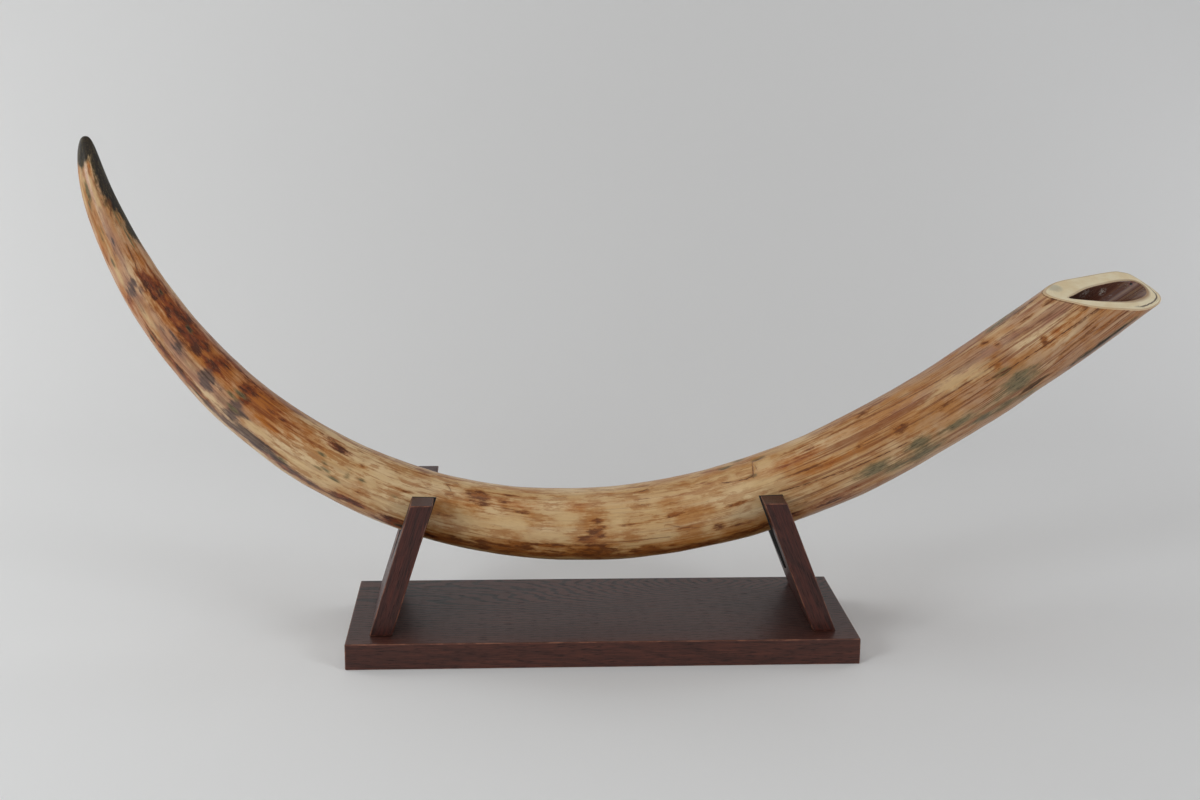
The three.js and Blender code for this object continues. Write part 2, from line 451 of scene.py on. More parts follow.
def make_tusk_tree():
    group, tree, given = new_geometry_tree("sweep_tusk", {
        "Sides": "NodeSocketInt",
        "Swelling": "NodeSocketFloat",
        "Swelling Length": "NodeSocketFloat",
        "Flute Depth": "NodeSocketFloat",
        "Flutes per Metre Round": "NodeSocketFloat",
        "Seed": "NodeSocketFloat",
        "Skin": "NodeSocketMaterial",
    })
    named = {"data_type": "FLOAT"}
    along = tree.node("GeometryNodeInputNamedAttribute", named, {"Name": "along"})
    width = tree.node("GeometryNodeInputNamedAttribute", named, {"Name": "half_width"})

    curve = tree.node("GeometryNodeMeshToCurve", None, {"Mesh": given["Geometry"]})
    curve = tree.node("GeometryNodeSetCurveRadius", None, {"Curve": curve, "Radius": width})
    curve = tree.node("GeometryNodeSetCurveNormal", {"mode": "Z_UP"}, {"Curve": curve})
    ring = tree.node("GeometryNodeCurvePrimitiveCircle", None, {
        "Resolution": given["Sides"],
        "Radius": 1.0,
    })
    ring = tree.node("GeometryNodeStoreNamedAttribute", {"data_type": "FLOAT_VECTOR"}, {
        "Geometry": ring,
        "Name": "ring_place",
        "Value": tree.node("GeometryNodeInputPosition"),
    })
    skin = tree.node("GeometryNodeCurveToMesh", None, {
        "Curve": curve,
        "Profile Curve": ring,
        "Scale": width,
    })

    per_metre = 1 / given["Swelling Length"]
    lumps = tree.join(per_metre, per_metre, per_metre)
    place = tree.node("GeometryNodeInputPosition")
    lump = tree.noise(place, lumps, detail=2.0, roughness=0.45, seed=given["Seed"])
    on_ring = tree.node("GeometryNodeInputNamedAttribute", {"data_type": "FLOAT_VECTOR"}, {
        "Name": "ring_place",
    })
    ring_x, ring_y, _ = tree.parts(on_ring)
    per_round = given["Flutes per Metre Round"] * width
    flute_place = tree.join(ring_x * per_round, ring_y * per_round, along * FLUTES_ALONG)
    flute = tree.noise(flute_place, detail=3.0, roughness=0.55, seed=given["Seed"] + 7.0)
    from_tip = along.between(0.0, 0.12)
    to_root = 0.35 + 0.65 * along.between(0.45, 0.95)
    push = (lump - 0.5) * given["Swelling"] * from_tip
    push = push + (flute - 0.5) * given["Flute Depth"] * from_tip * to_root
    offset = tree.node("ShaderNodeVectorMath", {"operation": "SCALE"}, {
        0: tree.node("GeometryNodeInputNormal"),
        "Scale": push,
    })
    skin = tree.node("GeometryNodeSetPosition", None, {"Geometry": skin, "Offset": offset})
    finish_tree(tree, skin, given["Skin"])
    return group


tusk_skin, skin_tree, skin_shader = new_material("stained_ivory")
swept = grow("tusk_source", spine, make_tusk_tree(), {
    "Sides": TUSK_SIDES,
    "Swelling": 0.0042,
    "Swelling Length": 0.085,
    "Flute Depth": 0.0022,
    "Flutes per Metre Round": 95.0,
    "Seed": 4.0,
    "Skin": tusk_skin,
})
print("swept skin:", len(swept.vertices), "points,", len(swept.polygons), "faces")

# %% [markdown]
# ## Sawing the root end
# The root end was sawn nearly level and then polished. The sweep runs past it, so each line of
# points along the skin is shortened to where it meets the saw cut, and the rows near it are
# spread evenly again. The sawn outline isn't the plain oval that a saw makes of a round tusk:
# it has a straighter front and a corner at the back. So the points are eased towards two drawn
# outlines, one of the sawn edge and one of the pulp cavity's mouth.

# %% The two outlines
SAWN_OUTLINE = np.array([
    (-69.7, 0.6), (-49.9, 22.2), (-13.0, 38.0), (25.4, 51.8), (37.4, 51.2), (47.4, 44.4),
    (61.5, 13.7), (65.0, -7.7), (56.0, -25.0), (35.2, -38.5), (6.3, -38.7), (-19.9, -35.2),
    (-45.0, -24.1), (-66.0, -12.5),
]) / 1000
MOUTH_OUTLINE = np.array([
    (-44.0, -14.0), (-36.0, -7.5), (-17.0, 8.0), (7.0, 19.8), (30.0, 28.1), (45.7, 27.9),
    (52.5, 14.0), (47.0, -4.0), (26.0, -17.8), (-3.2, -20.8), (-36.6, -17.6),
]) / 1000
SAWN_MIDDLE = np.array([0.0, 0.003])
MOUTH_MIDDLE = np.array([0.008, 0.0])


def smooth_loop(corners, per_piece=24):
    """A closed Catmull-Rom curve through the corners."""
    share = np.linspace(0, 1, per_piece, endpoint=False)[:, None]
    pieces = []
    for i in range(len(corners)):
        before, start, end, after = (corners[(i + k) % len(corners)] for k in (-1, 0, 1, 2))
        pieces.append(0.5 * (
            2 * start
            + (end - before) * share
            + (2 * before - 5 * start + 4 * end - after) * share**2
            + (3 * start - before - 3 * end + after) * share**3
        ))
    return np.concatenate(pieces)


def reach_of(outline, middle, angles):
    """How far an outline is from its middle, in each direction."""
    spokes = smooth_loop(outline) - middle
    turns = np.arctan2(spokes[:, 1], spokes[:, 0])
    order = np.argsort(turns)
    return np.interp(angles, turns[order], np.hypot(*spokes.T)[order], period=2 * math.pi)


print("sawn outline:", len(SAWN_OUTLINE), "corners; mouth:", len(MOUTH_OUTLINE))

# %% The saw cut
SAW_TO_FRONT, SAW_TO_ROOT = math.radians(20), math.radians(1.5)
NEAR_ROOT_U = 0.85
saw_turn = Matrix.Rotation(SAW_TO_ROOT, 3, "Y") @ Matrix.Rotation(SAW_TO_FRONT, 3, "X")
saw_normal = np.array(saw_turn @ Vector((0, 0, 1)))
saw_place = centre(np.array(1.0))
saw_x = np.array([1.0, 0, 0]) - saw_normal * saw_normal[0]
saw_x /= np.linalg.norm(saw_x)
saw_y = np.cross(saw_normal, saw_x)


def smooth_step(share):
    return share**2 * (3 - 2 * share)


def on_saw_plane(angles, reach, middle):
    """Points on the saw cut, from directions and distances round a middle."""
    flat_x = middle[0] + reach * np.cos(angles)
    flat_y = middle[1] + reach * np.sin(angles)
    return saw_place + flat_x[:, None] * saw_x + flat_y[:, None] * saw_y


skin_points = np.empty(len(swept.vertices) * 3)
swept.vertices.foreach_get("co", skin_points)
skin_points = skin_points.reshape(TUSK_ROWS, TUSK_SIDES, 3)
TIP_INSET, TIP_INSET_SPAN = np.array([0.0006, 0, -0.00036]), 0.2
skin_points += np.clip(1 - row_u / TIP_INSET_SPAN, 0, 1)[:, None, None] * TIP_INSET
from_centre = skin_points - centre(row_u)[:, None, :]
frontness = from_centre @ FRONT
innerness = np.einsum("rsk,rk->rs", from_centre, inner_side(row_u))
skin_round = np.arctan2(innerness, frontness)
skin_round[0] = skin_round[1]

above_saw = (skin_points - saw_place) @ saw_normal
near_root = row_u[:, None] > NEAR_ROOT_U
first_above = np.argmax(near_root & (above_saw > 0), axis=0)
columns = np.arange(TUSK_SIDES)
low = above_saw[first_above - 1, columns]
high = above_saw[first_above, columns]
cut_row = first_above - 1 + low / (low - high)
print("rows are cut between", cut_row.min().round(1), "and", cut_row.max().round(1))

# %% Respace the rows near the cut
RESPACED, EASED_ROWS = 64, 34
KEPT = int(cut_row.min()) - EASED_ROWS
spread = np.linspace(0, 1, RESPACED + 1)[1:, None]
new_rows = KEPT - 1 + (cut_row - (KEPT - 1)) * spread


def sample_rows(grid, rows):
    """A grid's values at rows that lie between its own."""
    below = np.clip(rows.astype(int), 0, TUSK_ROWS - 2)
    share = rows - below
    if grid.ndim == 3:
        share = share[..., None]
    return grid[below, columns] * (1 - share) + grid[below + 1, columns] * share


u_grid = np.repeat(row_u[:, None], TUSK_SIDES, axis=1)
near_points = sample_rows(skin_points, new_rows)
near_u = sample_rows(u_grid, new_rows)
near_inner = sample_rows(np.sin(skin_round), new_rows)
near_round = np.arctan2(near_inner, sample_rows(np.cos(skin_round), new_rows))

corner = near_points[-1]
corner_flat = np.stack([(corner - saw_place) @ saw_x, (corner - saw_place) @ saw_y], axis=-1)
spoke = corner_flat - SAWN_MIDDLE
spoke_angle = np.arctan2(spoke[:, 1], spoke[:, 0])
rim_reach = reach_of(SAWN_OUTLINE, SAWN_MIDDLE, spoke_angle)
rim = on_saw_plane(spoke_angle, rim_reach, SAWN_MIDDLE)
mouth_reach = reach_of(MOUTH_OUTLINE, MOUTH_MIDDLE, spoke_angle)
mouth = on_saw_plane(spoke_angle, mouth_reach, MOUTH_MIDDLE)
near_points = near_points + smooth_step(spread)[..., None] * (rim - corner)
largest = np.linalg.norm(rim - corner, axis=1).max()
print("largest ease to the outline (mm):", round(largest * 1000, 1))

# %% Rim, sawn face and pulp cavity
RIM_ROUNDING, LIP_ROUNDING = 0.0022, 0.0020
RIM_ROWS, FACE_ROWS, LIP_ROWS, CAVITY_ROWS = 5, 9, 4, 20
CAVITY_DEEPEST_U, CAVITY_OFF_CENTRE, CAVITY_HALF_WIDTH = 0.885, 0.003, 0.0265
CAVITY_ROUND_AT, CAVITY_TAPER = 0.55, 0.55


def toward(start, end):
    way = end - start
    return way / np.linalg.norm(way, axis=-1, keepdims=True)


def round_corner(start, at, end, rows):
    """Rows of points on a curve from start to end that is drawn towards at."""
    shares = np.linspace(0, 1, rows + 1)[1:]
    return [(1 - s) ** 2 * start + 2 * s * (1 - s) * at + s**2 * end for s in shares]


def cavity_axis(u):
    u = np.array(u)
    return centre(u) - CAVITY_OFF_CENTRE * inner_side(u)


into_tusk = toward(saw_place, cavity_axis(CAVITY_DEEPEST_U))
face_way = toward(rim, mouth)
rim_start = rim + RIM_ROUNDING * toward(rim, near_points[-3])
rim_end = rim + RIM_ROUNDING * face_way
lip_start = mouth - LIP_ROUNDING * face_way
lip_end = mouth + LIP_ROUNDING * into_tusk
near_points[-1] = rim_start

rim_rows = round_corner(rim_start, rim, rim_end, RIM_ROWS)
face_rows = [rim_end + (lip_start - rim_end) * k / FACE_ROWS for k in range(1, FACE_ROWS + 1)]
lip_rows = round_corner(lip_start, mouth, lip_end, LIP_ROWS)

cavity_rows = []
wall_round = near_round[-1][:, None]
for k in range(1, CAVITY_ROWS + 1):
    deep = k / CAVITY_ROWS
    u = 1.0 + (CAVITY_DEEPEST_U - 1.0) * deep
    outward = np.cos(wall_round) * FRONT + np.sin(wall_round) * inner_side(np.array(u))
    rounded = smooth_step(min(1.0, deep / CAVITY_ROUND_AT))
    offset = (lip_end - cavity_axis(1.0)) * (1 - rounded) + CAVITY_HALF_WIDTH * outward * rounded
    cavity_rows.append(cavity_axis(u) + offset * (1 - deep) ** CAVITY_TAPER)

root_rows = rim_rows + face_rows + lip_rows + cavity_rows
tusk_points = np.concatenate([skin_points[:KEPT], near_points, np.stack(root_rows)])
skin_rows = KEPT + RESPACED
tusk_u = np.concatenate([u_grid[:KEPT], near_u])
tusk_round = np.concatenate([skin_round[:KEPT], near_round])
print("tusk rows:", len(tusk_points), "of which skin:", skin_rows)


# %% [markdown]
# ## Chips, pits and the flaked patch
# Small losses are real dents in the mesh, so they catch the light from every side. The largest
# is a patch on the upper side near the right support, where a layer flaked off and left a step.

# %% Dents
# along (u), round (degrees from the front towards the inner side), half length, half width and
# depth (mm)
PITS = [
    (0.4740, 37, 4.5, 2.2, 0.6), (0.5160, 65, 6.0, 2.6, 0.7), (0.6045, 4, 3.5, 2.4, 0.8),
    (0.6880, 77, 7.0, 3.0, 1.4), (0.6600, 80, 6.5, 4.0, 1.0), (0.6808, 48, 4.2, 2.6, 1.3),
    (0.5200, 150, 7.0, 2.6, 1.0), (0.7300, 190, 9.0, 2.4, 1.2), (0.3500, 160, 7.0, 2.4, 0.8),
    (0.6100, 215, 5.0, 2.6, 1.0),
]
FLAKE_START, FLAKE_END, FLAKE_LOW, FLAKE_HIGH, FLAKE_DEPTH = 0.650, 0.6835, 46.0, 104.0, 0.0013
FLAKE_STEP, FLAKE_LOW_EDGE, FLAKE_HIGH_EDGE = 0.0022, 2.5, 12


def angle_gap(first, second):
    """The signed difference of two angles in degrees."""
    return (first - second + 180) % 360 - 180


round_degrees = np.degrees(tusk_round)
dent = np.zeros_like(tusk_u)
for u, turn, long, wide, depth in PITS:
    run = (tusk_u - u) * TUSK_LENGTH
    rise = np.radians(angle_gap(round_degrees, turn)) * half_width(u)
    far = np.hypot(run / (long / 1000), rise / (wide / 1000))
    dent = np.maximum(dent, depth / 1000 * np.clip(1 - far**2 / 2, 0, 1))


def clamped(value):
    return np.clip(value, 0, 1)


flake_run = clamped((tusk_u - FLAKE_START) / (FLAKE_END - FLAKE_START))
flake_run = flake_run * clamped((FLAKE_END - tusk_u) * TUSK_LENGTH / FLAKE_STEP)
flake_side = clamped((round_degrees - FLAKE_LOW) / FLAKE_LOW_EDGE)
flake_side = flake_side * clamped((FLAKE_HIGH - round_degrees) / FLAKE_HIGH_EDGE)
dent = np.maximum(dent, FLAKE_DEPTH * flake_run * flake_side)

inward = centre(tusk_u) - tusk_points[:skin_rows]
inward /= np.linalg.norm(inward, axis=-1, keepdims=True)
inward[0] = inner_side(np.array(0.0))
tusk_points[:skin_rows] += inward * dent[..., None]
print("points in dents:", int((dent > 0.0002).sum()))


# %% [markdown]
# ## Where the stains lie
# Minerals in the ground stained the ivory along its length: a charcoal tip, then mahogany and
# amber with slate patches, honey and cream in the middle, and brown streaks with moss-grey
# patches near the root. Each stain is laid as one soft dab: a place along the tusk, a
# place round it, and a half length and half width. Each is laid again on the far side, a little
# further along and weaker. A point keeps the strongest dab of each pigment, and the material
# breaks the dabs' edges up along the grain.

# %% Dabs of pigment
# along (thousandths of u), round (degrees), half length (thousandths of u), half width
# (degrees), strength (hundredths)
DABS = {
    "charcoal": [
        (0, 0, 20, 400, 100), (17, -28, 8, 26, 80), (20, 75, 32, 52, 100), (42, 76, 26, 50, 100),
        (64, 88, 22, 42, 75), (85, 84, 16, 28, 45), (912, -36, 14, 4, 100), (975, -47, 40, 5, 60),
        (135, 47, 4, 7, 50), (172, 45, 6, 9, 50), (160, -44, 10, 6, 50), (182, -42, 8, 6, 50),
        (212, -44, 14, 6, 50), (900, 9, 8, 2, 60), (396, -46, 12, 9, 50), (880, -40, 14, 2, 50),
    ],
    "cream": [
        (37, 3, 10, 8, 100), (50, 7, 14, 8, 100), (197, 48, 4, 20, 50), (30, -42, 6, 12, 70),
        (34, -24, 3, 6, 80), (45, -50, 14, 11, 80), (88, -20, 22, 6, 60), (108, -30, 9, 12, 80),
        (100, 12, 16, 4, 40), (145, -18, 22, 9, 80), (160, -3, 18, 4, 60), (160, -28, 16, 6, 60),
        (196, -8, 12, 9, 70), (262, -8, 16, 8, 100), (285, -16, 12, 5, 60), (305, -14, 14, 8, 80),
        (222, 48, 9, 18, 60), (231, -4, 6, 7, 70), (343, 8, 10, 18, 60), (360, 12, 12, 10, 50),
        (385, -8, 20, 12, 50), (300, 62, 20, 8, 30), (440, 6, 20, 12, 70), (480, 12, 18, 12, 90),
        (503, -4, 22, 9, 90), (522, 30, 14, 26, 60), (565, 16, 10, 16, 80), (598, -16, 11, 11, 90),
        (540, 62, 40, 12, 40), (430, 18, 12, 5, 60), (664, 60, 4, 8, 50), (693, 56, 10, 18, 90),
        (676, 34, 20, 6, 80), (690, 30, 18, 8, 70), (632, 36, 20, 14, 40), (868, 42, 30, 14, 100),
        (884, 30, 14, 14, 60), (550, 84, 80, 10, 50), (720, 84, 30, 12, 40), (905, -50, 30, 6, 50),
        (840, 33, 30, 6, 40),
    ],
    "amber": [
        (105, 42, 14, 20, 60), (150, 42, 42, 30, 100), (205, 40, 34, 30, 90),
        (252, 42, 28, 30, 100), (290, 42, 26, 24, 55), (268, 14, 16, 7, 100), (285, 22, 14, 6, 70),
        (200, -42, 50, 9, 80), (85, -44, 14, 8, 70), (130, -46, 20, 11, 60), (25, 12, 7, 10, 80),
        (55, 34, 10, 5, 40), (310, 30, 16, 6, 40), (530, 46, 10, 12, 45), (90, 56, 12, 7, 50),
        (715, 45, 30, 10, 50), (745, 22, 30, 8, 50), (660, -35, 40, 8, 50), (480, 45, 20, 8, 50),
        (440, 32, 16, 5, 50), (620, -30, 30, 8, 40), (950, 8, 22, 10, 50),
    ],
    "mahogany": [
        (124, 32, 11, 22, 80), (150, 42, 20, 24, 75), (178, 44, 15, 30, 95), (207, 36, 7, 24, 70),
        (240, 46, 9, 26, 75), (190, -38, 45, 9, 80), (300, -44, 50, 9, 70), (400, -48, 30, 11, 80),
        (130, -40, 6, 10, 70), (117, 22, 8, 8, 90), (135, 25, 5, 9, 90), (138, 44, 6, 11, 80),
        (150, 57, 26, 10, 70), (172, 38, 10, 20, 100), (186, 26, 9, 9, 90), (190, 48, 8, 12, 70),
        (205, 23, 8, 5, 90), (208, 45, 8, 12, 70), (236, 42, 6, 11, 80), (242, 22, 6, 8, 70),
        (215, 70, 28, 8, 60), (252, 68, 20, 8, 55), (150, 24, 20, 4, 60), (350, -34, 18, 8, 90),
        (325, 52, 12, 6, 70), (318, 62, 12, 5, 60), (388, -38, 12, 10, 90), (270, 52, 8, 3, 60),
        (120, 60, 12, 7, 50), (180, 66, 14, 7, 70), (300, -40, 20, 6, 60), (740, -38, 30, 12, 50),
        (700, -36, 12, 9, 50), (130, 50, 16, 22, 70), (160, 52, 22, 24, 80), (183, 58, 12, 20, 80),
        (209, 56, 10, 16, 70), (160, 30, 20, 12, 60), (240, 60, 12, 14, 60), (268, 40, 14, 8, 40),
        (328, 48, 10, 5, 70), (205, 28, 20, 5, 80),
    ],
    "umber": [
        (500, -42, 36, 13, 70), (472, -38, 20, 12, 80), (545, -36, 18, 22, 100),
        (585, -42, 16, 14, 90), (625, -50, 30, 12, 70), (662, -48, 30, 12, 70),
        (396, -46, 14, 16, 100), (430, -46, 22, 12, 80), (450, 50, 12, 11, 90),
        (453, 37, 13, 4, 70), (473, 62, 12, 3, 70), (472, 46, 8, 3, 60), (488, 33, 7, 4, 80),
        (466, 52, 12, 4, 50), (420, 60, 10, 4, 40), (400, 70, 10, 3, 50), (547, 2, 8, 12, 90),
        (540, -10, 10, 7, 90), (547, 22, 6, 5, 80), (548, -32, 11, 14, 100), (512, -21, 18, 5, 90),
        (530, -30, 12, 6, 60), (585, -32, 7, 6, 100), (606, -36, 5, 5, 70), (610, 18, 8, 4, 100),
        (623, 21, 10, 2, 60), (618, -6, 8, 2, 80), (575, 12, 10, 3, 60), (460, -28, 12, 9, 70),
        (486, -27, 14, 9, 100), (430, -38, 30, 9, 80), (470, -46, 30, 8, 80),
        (520, -42, 26, 6, 80), (560, -46, 22, 8, 80), (600, -48, 20, 6, 60),
        (392, -50, 14, 10, 100), (356, -7, 6, 3, 70), (388, 26, 10, 3, 60), (396, 10, 10, 4, 50),
        (350, 38, 4, 5, 60), (344, 67, 6, 2, 50), (425, 6, 12, 5, 50), (663, 12, 12, 3, 80),
        (662, -22, 18, 3, 60), (643, -16, 6, 8, 50), (670, -40, 20, 8, 80), (640, -42, 14, 5, 70),
        (935, 13, 3, 9, 90), (897, 24, 3, 9, 60), (975, 18, 6, 5, 80), (806, 20, 7, 6, 80),
        (770, 25, 5, 3, 60), (846, 17, 10, 4, 70), (785, 72, 12, 6, 60), (765, 62, 20, 2, 90),
        (812, 57, 12, 2, 80), (900, 68, 4, 9, 50), (935, 60, 8, 3, 60), (960, 62, 10, 4, 70),
        (725, 65, 20, 2, 80), (735, 54, 22, 2, 70), (725, 26, 20, 2, 80), (965, -12, 20, 2, 60),
        (955, -20, 24, 2, 70), (985, -28, 12, 3, 70), (845, -42, 20, 4, 60), (905, 52, 3, 8, 50),
        (710, -20, 12, 2, 60), (300, 10, 20, 3, 30), (280, -24, 20, 4, 50), (375, 55, 14, 3, 40),
    ],
    "mauve": [
        (85, 3, 30, 11, 100), (62, 6, 10, 6, 70), (130, -24, 12, 10, 60), (76, -2, 20, 8, 80),
        (110, -2, 10, 7, 60), (150, 70, 40, 10, 70), (275, 80, 35, 11, 70), (195, 0, 30, 14, 50),
        (150, 2, 20, 8, 50), (900, 48, 50, 11, 80), (952, 42, 18, 16, 90), (830, 46, 30, 8, 50),
        (200, 80, 60, 14, 70), (380, 82, 50, 9, 50), (650, 82, 40, 8, 40), (230, -8, 20, 14, 70),
        (800, 78, 80, 10, 40), (125, -10, 24, 16, 80), (172, -10, 26, 16, 80),
        (205, -16, 20, 12, 80), (640, 56, 16, 8, 30),
    ],
    "slate": [
        (122, -12, 7, 18, 70), (178, -2, 8, 11, 70), (210, -2, 7, 18, 80), (243, -4, 8, 14, 80),
        (262, -36, 30, 11, 90), (230, -44, 30, 9, 70), (85, 2, 5, 5, 80), (119, -2, 4, 10, 90),
        (124, -18, 6, 12, 80), (126, 5, 4, 8, 60), (177, -4, 5, 8, 70), (170, 8, 10, 4, 50),
        (208, 6, 6, 12, 90), (213, -12, 8, 10, 90), (220, 8, 10, 5, 50), (240, 6, 6, 8, 90),
        (248, 0, 8, 6, 70), (262, -27, 20, 7, 90), (285, -33, 16, 7, 80), (243, -20, 10, 9, 80),
        (213, -46, 12, 6, 80), (313, -38, 20, 7, 50), (160, -4, 6, 3, 50), (95, -12, 6, 3, 50),
        (245, -38, 14, 10, 70), (970, -50, 30, 8, 80), (212, 5, 7, 10, 90), (930, 82, 30, 7, 50),
    ],
    "moss": [
        (43, -20, 8, 9, 100), (52, -28, 6, 6, 80), (12, -10, 10, 12, 60), (85, 51, 14, 3, 90),
        (65, 45, 12, 3, 80), (70, 60, 20, 8, 50), (73, -16, 6, 3, 70), (78, -28, 8, 4, 60),
        (98, -29, 4, 4, 90), (236, 26, 5, 4, 100), (233, 12, 5, 5, 80), (316, 24, 4, 3, 90),
        (322, 14, 4, 4, 70), (327, 2, 5, 3, 90), (333, -6, 6, 3, 90), (293, -28, 5, 3, 90),
        (354, 14, 3, 3, 90), (342, 14, 3, 9, 60), (382, 10, 4, 3, 50), (320, -2, 6, 2, 60),
        (240, -6, 6, 4, 50), (772, -15, 15, 11, 90), (790, -30, 14, 10, 60), (812, -12, 11, 9, 80),
        (812, -32, 18, 12, 85), (848, -17, 17, 9, 75), (866, -34, 11, 8, 85),
        (904, -14, 18, 15, 90), (885, -38, 20, 8, 60), (18, -30, 10, 14, 70), (896, 12, 7, 4, 100),
        (917, 88, 12, 6, 80), (880, -20, 14, 4, 60), (690, 76, 5, 4, 100), (662, 82, 6, 5, 80),
        (681, 47, 3, 3, 100), (905, -50, 12, 6, 60), (420, 36, 2, 2, 50), (815, -40, 12, 5, 60),
    ],
}
FAR_SIDE_SHIFT, FAR_SIDE_STRENGTH, FAR_SIDE_STRETCH = 0.012, 0.8, 1.2
ALL_ROUND = 90


def dab_strength(u, turn, long, wide, strength):
    """The skin's share of one dab, fading out from its middle."""
    far = np.hypot((tusk_u - u) / long, angle_gap(round_degrees, turn) / wide)
    return strength * np.exp(-far**2)


pigments = {}
for pigment, dabs in DABS.items():
    layer = np.zeros_like(tusk_u)
    for u, turn, long, wide, strength in dabs:
        u, long, strength = u / 1000, long / 1000, strength / 100
        layer = np.maximum(layer, dab_strength(u, turn, long, wide, strength))
        if wide < ALL_ROUND:
            layer = np.maximum(layer, dab_strength(
                u + FAR_SIDE_SHIFT, 180 - turn, long * FAR_SIDE_STRETCH, wide,
                strength * FAR_SIDE_STRENGTH,
            ))
    pigments[pigment] = layer
print("dabs:", {pigment: len(dabs) for pigment, dabs in DABS.items()})


# %% [markdown]
# ## Cracks
# Drying opened a few fine cracks along the grain. Each is a line of corners on the skin. The
# skin's points keep how far they are from the nearest crack, with a sign for the side, and how
# deep it is there. A distance stays true between two points of the mesh, so the material can
# draw a line far finer than the mesh.

# %% Crack lines
# depth, then corners as along (u) and round (degrees)
CRACKS = [
    (1.0, [(0.655, 50), (0.664, 47), (0.676, 44.5), (0.681, 47), (0.6825, 55), (0.6832, 62)]),
    (0.8, [(0.6835, 66), (0.6850, 74), (0.690, 77), (0.694, 74)]),
    (0.9, [(0.698, 9.5), (0.710, 7.8), (0.725, 6.4), (0.745, 3.2), (0.765, 0.8), (0.785, -1),
           (0.806, -2.5)]),
    (1.0, [(0.884, 14), (0.897, 11), (0.912, 9), (0.935, 6.2), (0.960, 3.8), (0.988, 1.2)]),
    (0.8, [(0.577, 81), (0.585, 79), (0.592, 80)]),
    (0.9, [(0.583, 66), (0.588, 66.5), (0.5915, 69)]),
    (0.8, [(0.092, 34), (0.100, 31), (0.107, 28), (0.114, 24)]),
    (0.8, [(0.055, 44), (0.061, 38), (0.066, 30), (0.071, 33)]),
    (0.6, [(0.604, 3), (0.610, -1), (0.617, -5.5), (0.625, -9)]),
    (0.5, [(0.548, -14), (0.566, -15.5), (0.585, -15), (0.603, -17)]),
    (0.7, [(0.4205, 67), (0.4235, 70), (0.4275, 70)]),
    (0.6, [(0.421, 60), (0.4235, 55), (0.4250, 51)]),
    (0.6, [(0.4225, 42), (0.4265, 44)]),
    (0.5, [(0.4150, 33), (0.4225, 34)]),
    (0.6, [(0.470, 36), (0.4775, 35)]),
    (0.5, [(0.582, 51), (0.5905, 50.5)]),
    (0.5, [(0.5825, 40.5), (0.5900, 40)]),
    (0.6, [(0.512, 63.5), (0.520, 64)]),
    (0.5, [(0.750, 61), (0.770, 62), (0.790, 60), (0.806, 57)]),
    (0.6, [(0.805, 56), (0.830, 55), (0.860, 53), (0.890, 54)]),
    (0.5, [(0.790, 20), (0.815, 18.5), (0.840, 17), (0.868, 13.5)]),
    (0.5, [(0.700, 28), (0.715, 26.5), (0.735, 24)]),
    (0.5, [(0.500, -44), (0.540, -47), (0.580, -48), (0.620, -45), (0.650, -43)]),
    (0.6, [(0.960, 1), (0.975, 0), (0.990, -3)]),
    (0.6, [(0.930, -19), (0.960, -21), (0.985, -27), (1.002, -31)]),
    (0.5, [(0.950, 27), (0.962, 25), (0.976, 19)]),
    (0.6, [(0.900, -36), (0.912, -35), (0.928, -37)]),
    (0.5, [(0.545, 86), (0.562, 80)]),
    (0.8, [(0.700, 180), (0.760, 176), (0.820, 178), (0.890, 172)]),
    (0.7, [(0.500, 205), (0.560, 208), (0.610, 206)]),
    (0.6, [(0.300, 150), (0.340, 154), (0.370, 152)]),
]
CRACK_FAR, CRACK_RUN_OUT, CRACK_FADE = 0.006, 0.012, 0.006
CRACK_JOINT, CRACK_SIDE_REACH, CRACK_SIDE_FADE = 0.0008, 0.0042, 0.001

crack_offset = np.full_like(tusk_u, CRACK_FAR)
crack_depth = np.zeros_like(tusk_u)
crack_nearest = np.full_like(tusk_u, CRACK_FAR)
local_width = np.maximum(half_width(tusk_u), 1e-4)
for depth, corners in CRACKS:
    pieces = list(zip(corners, corners[1:]))
    for number, ((u0, turn0), (u1, turn1)) in enumerate(pieces):
        run = (tusk_u - u0) * TUSK_LENGTH
        rise = np.radians(angle_gap(round_degrees, turn0)) * local_width
        long = (u1 - u0) * TUSK_LENGTH
        wide = np.radians(turn1 - turn0) * local_width
        length = np.hypot(long, wide)
        before = -(run * long + rise * wide) / length
        after = -before - length
        allowed_before = CRACK_RUN_OUT if number == 0 else CRACK_JOINT
        allowed_after = CRACK_RUN_OUT if number == len(pieces) - 1 else CRACK_JOINT
        beside = (rise * long - run * wide) / length
        beyond = np.maximum(0, np.maximum(before, after))
        nearest = np.abs(beside) + beyond
        chosen = (before < allowed_before) & (after < allowed_after) & (nearest < crack_nearest)
        crack_offset = np.where(chosen, beside, crack_offset)
        crack_nearest = np.where(chosen, nearest, crack_nearest)
        crack_depth = np.where(chosen, depth * clamped(1 - beyond / CRACK_FADE), crack_depth)
crack_depth *= clamped((CRACK_SIDE_REACH - np.abs(crack_offset)) / CRACK_SIDE_FADE)
print("points beside cracks:", int((np.abs(crack_offset) < 0.002).sum()))

# %% The tusk's mesh
rows = len(tusk_points)
face_grid = []
for row in range(rows - 1):
    for side in range(TUSK_SIDES):
        beyond = (side + 1) % TUSK_SIDES
        here, there = row * TUSK_SIDES, (row + 1) * TUSK_SIDES
        face_grid.append((here + side, here + beyond, there + beyond, there + side))

